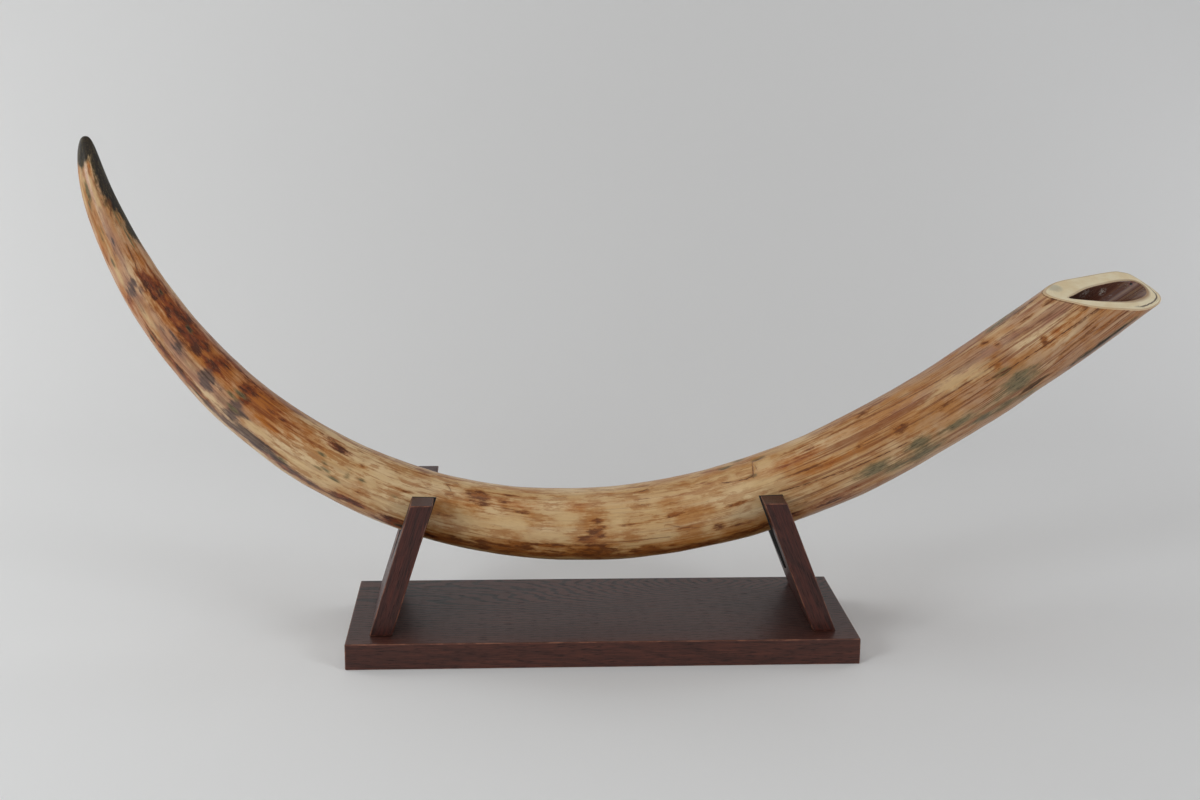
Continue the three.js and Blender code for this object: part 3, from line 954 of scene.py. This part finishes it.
tusk = link_mesh("ivory_tusk", tusk_points.reshape(-1, 3), face_grid, tusk_skin)
mesh = tusk.data
sawn_ivory, sawn_tree, sawn_shader = new_material("sawn_ivory")
cavity_wall, cavity_tree, cavity_shader = new_material("cavity_wall")
mesh.materials.append(sawn_ivory)
mesh.materials.append(cavity_wall)
finish_of_row = np.zeros(rows - 1, dtype=int)
finish_of_row[skin_rows:] = 1
finish_of_row[skin_rows + RIM_ROWS + FACE_ROWS + 1:] = 2
mesh.polygons.foreach_set("material_index", np.repeat(finish_of_row, TUSK_SIDES))


def point_layer(mesh, name, values, kind="FLOAT"):
    """Stores one value for each point of a mesh."""
    layer = mesh.attributes.new(name, kind, "POINT")
    layer.data.foreach_set("vector" if kind == "FLOAT_VECTOR" else "value", np.ravel(values))


def over_all_rows(skin_values):
    """Skin values, with the last row's repeated over the root end."""
    extra = rows - skin_rows
    return np.concatenate([skin_values, np.repeat(skin_values[-1:], extra, axis=0)])


all_u, all_round = over_all_rows(tusk_u), over_all_rows(tusk_round)
straightened = np.stack([
    all_u * TUSK_LENGTH,
    half_width(all_u) * np.cos(all_round),
    half_width(all_u) * np.sin(all_round),
], axis=-1)
point_layer(mesh, "straightened", straightened, "FLOAT_VECTOR")
point_layer(mesh, "along_tusk", all_u)
for pigment, layer in pigments.items():
    point_layer(mesh, pigment, over_all_rows(layer))
point_layer(mesh, "crack_offset", over_all_rows(crack_offset))
point_layer(mesh, "crack_depth", over_all_rows(crack_depth))

across_face = np.zeros((rows, TUSK_SIDES))
across_face[skin_rows + RIM_ROWS:] = 1.0
face_share = np.arange(1, FACE_ROWS + 1)[:, None] / FACE_ROWS
across_face[skin_rows + RIM_ROWS:skin_rows + RIM_ROWS + FACE_ROWS] = face_share
point_layer(mesh, "across_face", across_face)
into_cavity = np.zeros((rows, TUSK_SIDES))
into_cavity[-CAVITY_ROWS:] = np.arange(1, CAVITY_ROWS + 1)[:, None] / CAVITY_ROWS
point_layer(mesh, "into_cavity", into_cavity)


def close_and_turn_out(mesh):
    """Merges doubled points and makes every face point outwards."""
    work = bmesh.new()
    work.from_mesh(mesh)
    bmesh.ops.remove_doubles(work, verts=work.verts, dist=2e-5)
    bmesh.ops.recalc_face_normals(work, faces=work.faces)
    open_edges = sum(1 for edge in work.edges if not edge.is_manifold)
    work.to_mesh(mesh)
    work.free()
    return open_edges


open_edges = close_and_turn_out(mesh)
triangles = sum(len(face.vertices) - 2 for face in mesh.polygons)
print("tusk:", triangles, "triangles, open edges:", open_edges)
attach(tusk, "root")
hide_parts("tusk")


# %% [markdown]
# ## The ivory's finish
# The colour is built as a painter would: a ground that goes from tan to honey and back to tan,
# drawn-out streaks over it, then each pigment where its dabs lie, and the cracks last. The
# streaks read the tusk as if it were straightened out, so they bend with it and have no seam.
# A thin varnish lies over everything, and it's a little worn where the skin is rough.

# %% Ivory skin
def dress_tusk_skin(tree, shader):
    straight = attribute(tree, "straightened", "Vector")
    along = attribute(tree, "along_tusk")

    def drawn_out(along_grain, across_grain, detail, roughness, seed=0.0):
        """Noise with so many lumps in a metre along the tusk and round it."""
        factors = (along_grain, across_grain, across_grain)
        return tree.noise(straight, factors, detail, roughness, seed)

    streaks = drawn_out(16, 330, 5, 0.62)
    broad_streaks = drawn_out(7, 110, 3, 0.55, seed=2.0)
    hairs = drawn_out(5, 560, 4, 0.6, seed=7.0)
    long_lines = drawn_out(3.2, 210, 3, 0.55, seed=41.0)
    grain = drawn_out(90, 2100, 2, 0.6, seed=5.0)
    tea = drawn_out(34, 110, 5, 0.66, seed=31.0)
    ragged = drawn_out(60, 170, 5, 0.68, seed=1.0)
    flecks = drawn_out(110, 620, 4, 0.65, seed=12.0)
    specks = drawn_out(420, 900, 2, 0.5, seed=11.0)
    clouds = drawn_out(22, 40, 4, 0.6, seed=9.0)
    wide_clouds = drawn_out(9, 18, 3, 0.55, seed=15.0)

    tip_part = along.between(0.33, 0.24)
    root_part = along.between(0.66, 0.76)
    far_root_part = along.between(0.76, 0.90)
    ground = tree.mix(tip_part, paint(200, 162, 112), paint(186, 138, 102))
    ground = tree.mix(root_part, ground, paint(188, 148, 102))
    ground = tree.mix(far_root_part, ground, paint(174, 132, 98))
    ground = tree.mix(clouds.between(0.45, 0.62) * 0.80, ground, paint(174, 116, 56))
    ground = tree.mix(wide_clouds.between(0.50, 0.66) * 0.70, ground, paint(222, 196, 154))
    ground = tree.mix(broad_streaks.between(0.50, 0.66) * 0.40, ground, paint(218, 192, 150))

    middle_part = along.between(0.22, 0.28) * along.between(0.74, 0.60)
    tea_stain = (tea * 0.65 + streaks * 0.35).between(0.49, 0.55) * (0.24 + 0.38 * middle_part)
    ground = tree.mix(tea_stain, ground, paint(160, 100, 42))

    streak_force = 0.48 + 0.30 * tip_part + 0.34 * root_part
    brown_streak = (streaks * 0.6 + ragged * 0.4).between(0.505, 0.59) * streak_force
    colour = tree.mix(brown_streak, ground, paint(150, 92, 44))
    hair = hairs.between(0.53, 0.62) * wide_clouds.between(0.62, 0.42)
    colour = tree.mix(hair * (0.20 + 0.72 * root_part), colour, paint(106, 52, 22))
    long_line = long_lines.between(0.545, 0.60) * (0.20 * middle_part + 0.66 * root_part)
    colour = tree.mix(long_line, colour, paint(122, 62, 28))
    fleck = flecks.between(0.56, 0.68) * clouds.between(0.44, 0.58)
    colour = tree.mix(fleck * (0.40 + 0.20 * tip_part), colour, paint(112, 62, 28))

    edge_break = (ragged - 0.5) * 1.5 + (streaks - 0.5) * 1.1 + (flecks - 0.5) * 0.5

    def lay(colour, pigment, tone, edge=None, strength=1.0, soft=0.30, break_up=1.0, reach=0.02):
        """A pigment over a colour, with a warmer or darker edge if one is given."""
        force = attribute(tree, pigment)
        broken = force + edge_break * force.between(0.0, 0.30) * break_up
        if edge is not None:
            colour = tree.mix(broken.between(reach, 0.40) * 0.55 * strength, colour, edge)
        return tree.mix(broken.between(0.36 - soft / 2, 0.36 + soft) * strength, colour, tone)

    colour = lay(colour, "cream", paint(212, 180, 132), strength=0.70, soft=0.4)
    amber_tone = tree.mix(streaks.between(0.42, 0.60), paint(172, 98, 26), paint(126, 60, 12))
    colour = lay(colour, "amber", amber_tone, paint(182, 116, 50), strength=0.92, soft=0.4)
    mauve_tone = tree.mix(streaks.between(0.42, 0.60), paint(156, 108, 86), paint(112, 72, 58))
    colour = lay(colour, "mauve", mauve_tone, strength=0.70, soft=0.4)
    umber_tone = tree.mix(ragged.between(0.44, 0.58), paint(142, 80, 28), paint(94, 44, 10))
    colour = lay(colour, "umber", umber_tone, paint(176, 116, 56), strength=0.92)
    mahogany_tone = tree.mix(ragged.between(0.42, 0.58), paint(128, 54, 12), paint(66, 24, 6))
    colour = lay(colour, "mahogany", mahogany_tone, paint(156, 82, 28), strength=0.94)
    slate_tone = tree.mix(streaks.between(0.42, 0.62), paint(86, 70, 66), paint(42, 36, 36))
    colour = lay(colour, "slate", slate_tone, paint(146, 104, 84), strength=0.84)
    moss_tone = tree.mix(flecks.between(0.42, 0.60), paint(104, 100, 70), paint(56, 60, 42))
    colour = lay(colour, "moss", moss_tone, paint(150, 120, 76), strength=0.78, soft=0.45)
    charcoal_tone = tree.mix(streaks.between(0.48, 0.66), paint(24, 23, 20), paint(62, 54, 34))
    colour = lay(
        colour, "charcoal", charcoal_tone, paint(118, 94, 52),
        strength=0.97, soft=0.16, break_up=0.5, reach=0.2,
    )

    colour = tree.mix(grain.between(0.55, 0.75) * 0.20, colour, paint(232, 196, 144))
    colour = tree.mix(grain.between(0.45, 0.25) * 0.24, colour, paint(100, 58, 28))
    colour = tree.mix(specks.between(0.68, 0.76) * 0.40, colour, paint(92, 54, 26))

    wander = (drawn_out(260, 260, 3, 0.5, seed=21.0) - 0.5) * 0.0022
    crack_side = (attribute(tree, "crack_offset") + wander).size()
    depth = attribute(tree, "crack_depth")
    broken_line = drawn_out(150, 150, 3, 0.5, seed=23.0)
    line = crack_side.between(0.0003 + broken_line * 0.0014, 0.0001)
    line = line * depth * (0.35 + 0.65 * broken_line.between(0.36, 0.56))
    glow = crack_side.between(0.0040, 0.0004) * depth
    colour = tree.mix(glow * 0.42, colour, paint(158, 96, 40))
    colour = tree.mix(line * 0.92, colour, paint(82, 42, 18))

    worn = ragged.between(0.50, 0.66)
    dull = attribute(tree, "charcoal").between(0.15, 0.5)
    relief = streaks * 0.35 + broad_streaks * 0.25 + grain * 0.12 + ragged * 0.28
    skin_relief = tree.bump(relief, 0.0010, 0.55)
    tree.feed_all(shader, {
        "Base Color": colour,
        "Roughness": 0.36 + 0.16 * worn + 0.10 * grain + 0.20 * dull,
        "Specular IOR Level": 0.34,
        "Coat Weight": (0.28 - 0.20 * worn) * (1 - 0.8 * dull),
        "Coat Roughness": 0.18,
        "Normal": tree.bump(1 - line, 0.0007, 0.8, under=skin_relief),
    })


dress_tusk_skin(skin_tree, skin_shader)
print("ivory skin nodes:", len(skin_tree.nodes))


# %% [markdown]
# ## The sawn face and the pulp cavity
# The polished face is cream, with growth layers that follow its edge, one grey stain and one
# open layer near the root-side rim. The cavity's wall is dark brown and wet-looking, because
# resin was poured in to hold it, and the resin set with bubbles. Painted shade darkens the
# wall deeper in and fills a small hole, painted light makes the right wall a paler olive, and
# painted highlights stand for glints on the resin.

# %% Sawn face and cavity
def distance_to(tree, place, point):
    """How far a surface point is from a fixed point, in metres."""
    settings = {"operation": "DISTANCE"}
    return tree.node("ShaderNodeVectorMath", settings, {0: place, 1: tuple(point)}, output=1)


def dress_sawn_face(tree, shader):
    place = object_place(tree)
    across = attribute(tree, "across_face")
    cloud = tree.noise(place, (40, 40, 40), detail=3, roughness=0.6)
    mottle = tree.noise(place, (160, 160, 160), detail=3, roughness=0.6, seed=4.0)
    layer_place = tree.join(across * 26 + cloud * 3.0, cloud * 1.5, 0.0)
    layers = tree.noise(layer_place, detail=3, roughness=0.7, seed=6.0)
    colour = tree.mix(cloud.between(0.35, 0.70), paint(244, 230, 196), paint(232, 210, 168))
    colour = tree.mix(layers.between(0.50, 0.75) * 0.35, colour, paint(206, 178, 130))
    colour = tree.mix(mottle.between(0.60, 0.80) * 0.25, colour, paint(250, 240, 214))

    stain = distance_to(tree, place, on_cut(-0.0545, 0.0070))
    stain = stain + (cloud - 0.5) * 0.016 + (mottle - 0.5) * 0.006
    colour = tree.mix(stain.between(0.0115, 0.0050) * 0.42, colour, paint(140, 146, 138))
    rim_brown = across.between(0.03, 0.0)
    colour = tree.mix(rim_brown * 0.55, colour, paint(176, 130, 84))
    lip_end = distance_to(tree, place, on_cut(0.040, 0)).between(0.045, 0.010)
    lip_brown = across.between(0.86 - 0.30 * lip_end, 1.0)
    colour = tree.mix(lip_brown * (0.45 + 0.40 * lip_end), colour, paint(150, 108, 72))

    near_layer = distance_to(tree, place, on_cut(0.052, -0.006)).between(0.040, 0.030)
    wavering = (across - 0.24 + (cloud - 0.5) * 0.24 + (mottle - 0.5) * 0.12).size()
    open_layer = wavering.between(0.075, 0.030) * near_layer
    pit = mottle.between(0.56, 0.62) * wavering.between(0.22, 0.12) * near_layer
    opened = (open_layer * 0.9).math("MAXIMUM", pit * 0.6)
    colour = tree.mix(opened, colour, paint(70, 44, 28))
    height = mottle * 0.25 + layers * 0.2 - open_layer * 1.0
    tree.feed_all(shader, {
        "Base Color": colour,
        "Roughness": 0.36 + 0.12 * mottle,
        "Coat Weight": 0.30 - 0.15 * open_layer,
        "Coat Roughness": 0.18,
        "Normal": tree.bump(height, 0.0006, 0.6),
    })


def on_cut(along_cut, across_cut, out=0.0):
    """A point given by where it is on the saw cut and how far out of it, in metres."""
    return saw_place + along_cut * saw_x + across_cut * saw_y + out * saw_normal


# Painted highlights on the resin: along and across the saw cut, out of it, and reach
PAINTED_RESIN_GLINTS = [
    (-0.018, 0.010, -0.0075, 0.009), (0.007, 0.0215, -0.0106, 0.007),
    (-0.010, 0.008, -0.010, 0.005),
]


def dress_cavity(tree, shader):
    place = object_place(tree)
    deep = attribute(tree, "into_cavity")
    straight = attribute(tree, "straightened", "Vector")
    ribs = tree.noise(straight, (30, 420, 420), detail=3, roughness=0.6)
    cloud = tree.noise(place, (70, 70, 70), detail=3, roughness=0.6, seed=2.0)
    lit_right_wall = distance_to(tree, place, on_cut(0.052, 0)).between(0.060, 0.015)
    colour = tree.mix(ribs.between(0.40, 0.62), paint(84, 46, 36), paint(112, 72, 54))
    # Paler olive on the right wall: painted light falling into the cavity.
    olive = lit_right_wall * (ribs * 0.6 + cloud * 0.4).between(0.46, 0.60) * 0.6
    colour = tree.mix(olive, colour, paint(132, 104, 72))
    # Darker deeper in: painted shade inside the cavity.
    colour = tree.mix(deep.between(0.10, 0.50) * 0.85, colour, paint(44, 24, 19))
    # A small hole that the mesh doesn't have: a brown rim round a near-black middle of painted
    # shade.
    hole = distance_to(tree, place, on_cut(0.0412, 0.0270, -0.0030))
    colour = tree.mix(hole.between(0.0046, 0.0026), colour, paint(112, 70, 60))
    colour = tree.mix(hole.between(0.0022, 0.0012), colour, paint(14, 9, 8))
    bubble_rounds = tree.node("ShaderNodeTexVoronoi", {"feature": "F1"}, {
        "Vector": place, "Scale": 420.0, "Randomness": 1.0,
    })
    bubble = bubble_rounds.between(0.42, 0.18) * cloud.between(0.50, 0.62)
    colour = tree.mix(bubble * 0.35, colour, paint(168, 150, 134))
    # Painted highlights on the resin near its bubbles.
    for along_cut, across_cut, out, reach in PAINTED_RESIN_GLINTS:
        spot = on_cut(along_cut, across_cut, out)
        close = distance_to(tree, place, spot).between(reach, reach * 0.3)
        glint = close * (bubble_rounds + ribs - 0.5).between(0.62, 0.40)
        colour = tree.mix(glint * 0.75, colour, paint(206, 200, 190))
    height = ribs * 0.3 + cloud * 0.5 + bubble * 0.8
    tree.feed_all(shader, {
        "Base Color": colour,
        "Roughness": 0.22 + 0.25 * ribs,
        "Coat Weight": 0.9 - 0.3 * cloud,
        "Coat Roughness": 0.08,
        "Normal": tree.bump(height, 0.0014, 0.7),
    })


dress_sawn_face(sawn_tree, sawn_shader)
dress_cavity(cavity_tree, cavity_shader)
print("root end nodes:", len(sawn_tree.nodes) + len(cavity_tree.nodes))


# %% [markdown]
# ## The stand's wood
# The board and the supports are one kind of dark stained, open-pored hardwood. The supports get
# darker, redder tones than the board, as painted shade on their upright faces. Wood is best
# imitated from inside the tree: growth rings are sleeves round a slightly crooked pith, and
# each sawn face is a slice through them. That gives arches on a flat-sawn top and plain lines on
# its sides from one recipe. Pores are short dark dashes along the grain, and the rounded edges
# are painted lighter here and there, partly as worn-off stain and partly as painted highlight.

# %% Wood recipe
def dress_wood(name, grain_place, pith, tones, seed, ring_show=0.95):
    """grain_place gives (along the grain, across the face, into the wood), in metres.

    pith gives (across, into) distances from the pith, from those three and a slow waver.
    """
    material, tree, shader = new_material(name)
    along, across, into = tree.parts(grain_place(tree))
    place = tree.join(along, across, into)
    waver = tree.noise(place, (4.5, 16, 16), detail=3, roughness=0.55, seed=seed) - 0.5
    jagged = tree.noise(place, (34, 150, 150), detail=4, roughness=0.62, seed=seed + 1) - 0.5
    aside, depth = pith(along, across, into, waver)
    from_pith = (depth * depth + aside * aside).root() + jagged * RING_JAG
    ring = (from_pith * (2 * math.pi / RING_WIDTH)).math("SINE")
    porous = ring.between(0.05, 0.80)

    pores = tree.noise(place, (70, 1500, 1500), detail=2, roughness=0.55, seed=seed + 2)
    pore = pores.between(0.54 - 0.06 * porous, 0.66)
    fibre = tree.noise(place, (26, 850, 850), detail=4, roughness=0.62, seed=seed + 3)
    cloud = tree.noise(place, (6, 26, 26), detail=2, seed=seed + 4)

    light, dark, darkest = tones
    colour = tree.mix(fibre.between(0.34, 0.66), dark, light)
    colour = tree.mix(cloud.between(0.42, 0.66) * 0.45, colour, dark)
    # The rings hardly show near the front edge.
    behind_edge = across.between(-0.108, -0.085) * 0.85 + 0.15
    colour = tree.mix(porous * (0.6 + 0.4 * fibre) * behind_edge * ring_show, colour, darkest)
    colour = tree.mix(pore * 0.80, colour, darkest)
    # Lighter along the rounded edges: partly worn-off stain, partly painted highlight.
    edge_patches = tree.noise(place, (55, 170, 170), detail=3, roughness=0.65, seed=seed + 5)
    worn_and_highlit = attribute(tree, "edge_wear_and_highlight") * (0.30 + 0.70 * edge_patches.between(0.46, 0.60))
    colour = tree.mix(worn_and_highlit * 0.85, colour, paint(158, 104, 80))
    height = fibre * 0.25 - pore * 0.6 - porous * 0.15
    tree.feed_all(shader, {
        "Base Color": colour,
        "Roughness": 0.46 + 0.14 * fibre + 0.14 * pore,
        "Specular IOR Level": 0.30,
        "Coat Weight": 0.30 - 0.20 * pore,
        "Coat Roughness": 0.30,
        "Normal": tree.bump(height, 0.0004, 0.6),
    })
    return material


RING_WIDTH, RING_JAG = 0.0052, 0.0046
TOP_WOOD = (paint(88, 45, 33), paint(62, 29, 21), paint(20, 10, 8))
# The supports get the board's wood painted darker and redder: painted shade on their upright faces.
SHADED_UPRIGHT_WOOD = (paint(80, 33, 23), paint(52, 20, 14), paint(26, 11, 8))
print("wood tones:", [tuple(round(value, 3) for value in tone) for tone in TOP_WOOD])

# %% Board and supports
EDGE_ROUNDING, ROUNDING_SEGMENTS = 0.0014, 4
SHARP_ANGLE = math.radians(40)
EDGE_PAINT_START, EDGE_PAINT_FADE = 0.4, 0.5
SCREW_CLEARANCE = 0.010
SCREW_SPACING = 0.100
PLANK_CENTRE_Y = 0.0025
BOARD_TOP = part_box("base_board")[1][2]
SUPPORTS = {
    "left": {"foot": Vector((-0.250, PLANK_CENTRE_Y, BOARD_TOP)), "turn": math.radians(17.5)},
    "right": {"foot": Vector((0.2515, PLANK_CENTRE_Y, BOARD_TOP)), "turn": -math.radians(21.8)},
}


def up_plank(support):
    return Vector((math.sin(support["turn"]), 0, math.cos(support["turn"])))


screw_lines = []
for support in SUPPORTS.values():
    for side in (-1, 1):
        start = support["foot"] + Vector((0, side * SCREW_SPACING / 2, 0))
        screw_lines.append((start, up_plank(support)))


def beside_screw(point):
    """True for a point close to one of the screws' holes."""
    for start, way in screw_lines:
        if (point - start - way * (point - start).dot(way)).length < SCREW_CLEARANCE:
            return True
    return False


def rounded_copy(node, name, material, rounding):
    """A merged copy of a CAD node with its long edges rounded, and its rounded edges marked for
    paint that is partly wear and partly painted highlight.
    """
    work = bmesh.new()
    work.from_mesh(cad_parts[node].data)
    bmesh.ops.remove_doubles(work, verts=work.verts, dist=1e-5)
    bmesh.ops.dissolve_limit(
        work, angle_limit=math.radians(0.5), verts=work.verts, edges=work.edges, delimit=set(),
    )
    for face in work.faces:
        face.smooth = False
    sharp = []
    for edge in work.edges:
        halfway = (edge.verts[0].co + edge.verts[1].co) / 2
        if edge.calc_face_angle(0) > SHARP_ANGLE and not beside_screw(halfway):
            sharp.append(edge)
    lines = [(edge.verts[0].co.copy(), edge.verts[1].co.copy()) for edge in sharp]
    bevelled = bmesh.ops.bevel(
        work, geom=sharp, offset=rounding, segments=ROUNDING_SEGMENTS, profile=0.5,
        affect="EDGES", clamp_overlap=True,
    )
    for face in bevelled["faces"]:
        face.smooth = True
    wear_and_highlight_layer = work.verts.layers.float.new("edge_wear_and_highlight")
    for vertex in work.verts:
        nearest = rounding
        for start, end in lines:
            way = end - start
            share = max(0.0, min(1.0, (vertex.co - start).dot(way) / way.length_squared))
            nearest = min(nearest, (start + way * share - vertex.co).length)
        off_painted_edge = (nearest / rounding - EDGE_PAINT_START) / EDGE_PAINT_FADE
        vertex[wear_and_highlight_layer] = max(0.0, 1.0 - off_painted_edge) if nearest < rounding else 0.0
    mesh = bpy.data.meshes.new(name)
    work.to_mesh(mesh)
    work.free()
    mesh.materials.append(material)
    made = link_object(name, mesh)
    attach(made, "root")
    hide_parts(node)
    print(name, "has", len(lines), "rounded edges")
    return made


def board_pith(along, across, into, waver):
    """The board's pith ran under its back edge, and came nearest to the top right of the middle."""
    beyond = (PITH_NEAREST_X - along).size()
    dip = PITH_DEPTH + beyond * PITH_SLOPE - beyond * beyond * PITH_BEND
    return across - PITH_Y + waver * 0.012, dip + (BOARD_TOP - into) + waver * 0.050


def plank_grain(support):
    """A plank's grain runs up the plank, whatever its lean."""
    def place(tree):
        settings = {"vector_type": "TEXTURE"}
        upright = tree.node("ShaderNodeMapping", settings, {
            "Vector": object_place(tree),
            "Location": support["foot"],
            "Rotation": (0, support["turn"], 0),
        })
        thick, wide, high = tree.parts(upright)
        return tree.join(high, wide, thick)
    return place


def plank_pith(along, across, into, waver):
    """The planks' pith ran beside their back edge."""
    return across - 0.12 + waver * 0.03, into + 0.045 + along * 0.10 + waver * 0.05


PITH_NEAREST_X, PITH_Y = 0.135, 0.096
PITH_DEPTH, PITH_SLOPE, PITH_BEND = 0.016, 0.40, 0.42
board_wood = dress_wood("dark_wood_board", object_place, board_pith, TOP_WOOD, 1.0)
board = rounded_copy("base_board", "wood_board", board_wood, EDGE_ROUNDING)
for number, (side, support) in enumerate(SUPPORTS.items()):
    seed = 20.0 + 10 * number
    grain = plank_grain(support)
    wood = dress_wood(f"dark_wood_{side}", grain, plank_pith, SHADED_UPRIGHT_WOOD, seed, ring_show=0.4)
    plank = rounded_copy(f"{side}_support", f"wood_{side}_support", wood, EDGE_ROUNDING)


# %% [markdown]
# ## Rubber liners
# A strip of black rubber lies in each notch, so that the varnish isn't scratched. It's matte,
# with a fine grain and a few paler scuffs.

# %% Liners
def make_rubber():
    material, tree, shader = new_material("black_rubber")
    place = object_place(tree)
    pebble = tree.noise(place, (1400, 1400, 1400), detail=2)
    scuff = tree.noise(place, (120, 120, 120), detail=4, roughness=0.7, seed=2.0)
    colour = tree.mix(pebble, (0.010, 0.010, 0.010), (0.022, 0.021, 0.021))
    colour = tree.mix(scuff.between(0.60, 0.75) * 0.5, colour, (0.055, 0.052, 0.050))
    tree.feed_all(shader, {
        "Base Color": colour,
        "Roughness": 0.62 + 0.25 * scuff,
        "Normal": tree.bump(pebble, 0.0002, 0.5),
    })
    return material


rubber = make_rubber()
LINER_ROUNDING = 0.0005
for side in SUPPORTS:
    liner = rounded_copy(f"{side}_liner", f"rubber_{side}_liner", rubber, LINER_ROUNDING)


# %% [markdown]
# ## Screws
# Four countersunk screws come up through the board into the supports. Only their heads show,
# from below. One screw is turned as rows of rings, with a cross recess pressed into its head and
# a thread wound round its shank. Geometry Nodes then set it at the four places and make one
# real mesh of them.

# %% One screw
HEAD_RADIUS, SHANK_RADIUS, CORE_RADIUS = 0.0050, 0.0025, 0.0018
HEAD_RIM, HEAD_HEIGHT = 0.0004, 0.0035
SCREW_LENGTH, POINT_LENGTH, THREAD_START, THREAD_PITCH = 0.062, 0.006, 0.024, 0.0025
SCREW_SIDES = 32
RECESS_HALF_WIDTH, RECESS_REACH, RECESS_DEPTH = 0.0007, 0.0027, 0.0018
THREAD_FLANK, ROWS_PER_TURN = 0.28, 6


def screw_profile():
    """Rows of (radius, height, threaded) from the middle of the head to the point."""
    rows = [(HEAD_RADIUS * k / 14, 0.0, False) for k in range(15)]
    rows.append((HEAD_RADIUS, HEAD_RIM, False))
    for k in range(1, 5):
        share = k / 4
        radius = HEAD_RADIUS + (SHANK_RADIUS - HEAD_RADIUS) * share
        rows.append((radius, HEAD_RIM + (HEAD_HEIGHT - HEAD_RIM) * share, False))
    rows.append((SHANK_RADIUS, THREAD_START - 0.001, False))
    height = THREAD_START
    while height < SCREW_LENGTH - POINT_LENGTH:
        rows.append((SHANK_RADIUS, height, True))
        height += THREAD_PITCH / ROWS_PER_TURN
    for k in range(1, 9):
        share = k / 8
        rows.append((SHANK_RADIUS * (1 - share), SCREW_LENGTH - POINT_LENGTH * (1 - share), False))
    return rows


def make_screw_mesh():
    points, faces = [], []
    rows = screw_profile()
    for radius, height, threaded in rows:
        for side in range(SCREW_SIDES):
            angle = 2 * math.pi * side / SCREW_SIDES
            reach, up = radius, height
            if threaded:
                turn = (height / THREAD_PITCH + side / SCREW_SIDES) % 1.0
                ridge = max(0.0, 1 - abs(turn - 0.5) / THREAD_FLANK)
                reach = CORE_RADIUS + (SHANK_RADIUS - CORE_RADIUS) * ridge
            x, y = reach * math.cos(angle), reach * math.sin(angle)
            narrow, wide = sorted((abs(x), abs(y)))
            if height == 0.0 and narrow < RECESS_HALF_WIDTH and wide < RECESS_REACH:
                up = RECESS_DEPTH * (1 - radius / HEAD_RADIUS)
            points.append((x, y, up))
    for row in range(len(rows) - 1):
        for side in range(SCREW_SIDES):
            beyond = (side + 1) % SCREW_SIDES
            here, there = row * SCREW_SIDES, (row + 1) * SCREW_SIDES
            faces.append((here + side, here + beyond, there + beyond, there + side))
    mesh = bpy.data.meshes.new("one_screw")
    mesh.from_pydata(points, [], faces)
    close_and_turn_out(mesh)
    mesh.shade_smooth()
    mesh.set_sharp_from_angle(angle=math.radians(32))
    return mesh


one_screw = link_object("one_screw", make_screw_mesh())
print("one screw:", len(one_screw.data.polygons), "faces")

# %% Four screws
HEAD_RECESS = 0.005


def make_zinc():
    material, tree, shader = new_material("zinc_steel")
    place = object_place(tree)
    spangle = tree.noise(place, (700, 700, 700), detail=3, roughness=0.6)
    stain = tree.noise(place, (260, 260, 260), detail=2, seed=3.0)
    colour = tree.mix(spangle, (0.46, 0.45, 0.42), (0.60, 0.59, 0.56))
    colour = tree.mix(stain.between(0.55, 0.75) * 0.5, colour, (0.30, 0.25, 0.18))
    tree.feed_all(shader, {
        "Base Color": colour,
        "Metallic": 1.0,
        "Roughness": 0.30 + 0.25 * stain,
        "Normal": tree.bump(spangle, 0.0001, 0.4),
    })
    return material


def make_screw_tree():
    group, tree, given = new_geometry_tree("set_screws", {
        "Screw": "NodeSocketObject",
        "Length": "NodeSocketFloat",
        "Finish": "NodeSocketMaterial",
    })
    turn = tree.node("GeometryNodeInputNamedAttribute", {"data_type": "FLOAT_VECTOR"}, {
        "Name": "turn",
    })
    rotation = tree.node("FunctionNodeEulerToRotation", None, {"Euler": turn})
    screw = tree.node("GeometryNodeObjectInfo", None, {
        "Object": given["Screw"], "As Instance": True,
    }, output="Geometry")
    size = given["Length"] / SCREW_LENGTH
    instances = tree.node("GeometryNodeInstanceOnPoints", None, {
        "Points": given["Geometry"],
        "Instance": screw,
        "Rotation": rotation,
        "Scale": tree.join(size, size, size),
    })
    finish_tree(tree, instances, given["Finish"])
    return group


head_places, head_turns = [], []
for support in SUPPORTS.values():
    drop = BOARD_TOP / math.cos(support["turn"]) - HEAD_RECESS
    for side in (-1, 1):
        across = Vector((0, side * SCREW_SPACING / 2, 0))
        head_places.append(tuple(support["foot"] + across - up_plank(support) * drop))
        head_turns.append((0.0, support["turn"], 0.0))
screw_places = bpy.data.meshes.new("screw_places")
screw_places.from_pydata(head_places, [], [])
point_layer(screw_places, "turn", head_turns, "FLOAT_VECTOR")

screw_mesh = grow("screw_source", screw_places, make_screw_tree(), {
    "Screw": one_screw,
    "Length": SCREW_LENGTH,
    "Finish": make_zinc(),
})
bpy.data.objects.remove(one_screw)
screws = link_object("wood_screws", screw_mesh)
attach(screws, "root")
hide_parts("left_screw_front", "left_screw_back", "right_screw_front", "right_screw_back")
print("screws:", len(screw_mesh.polygons), "faces")
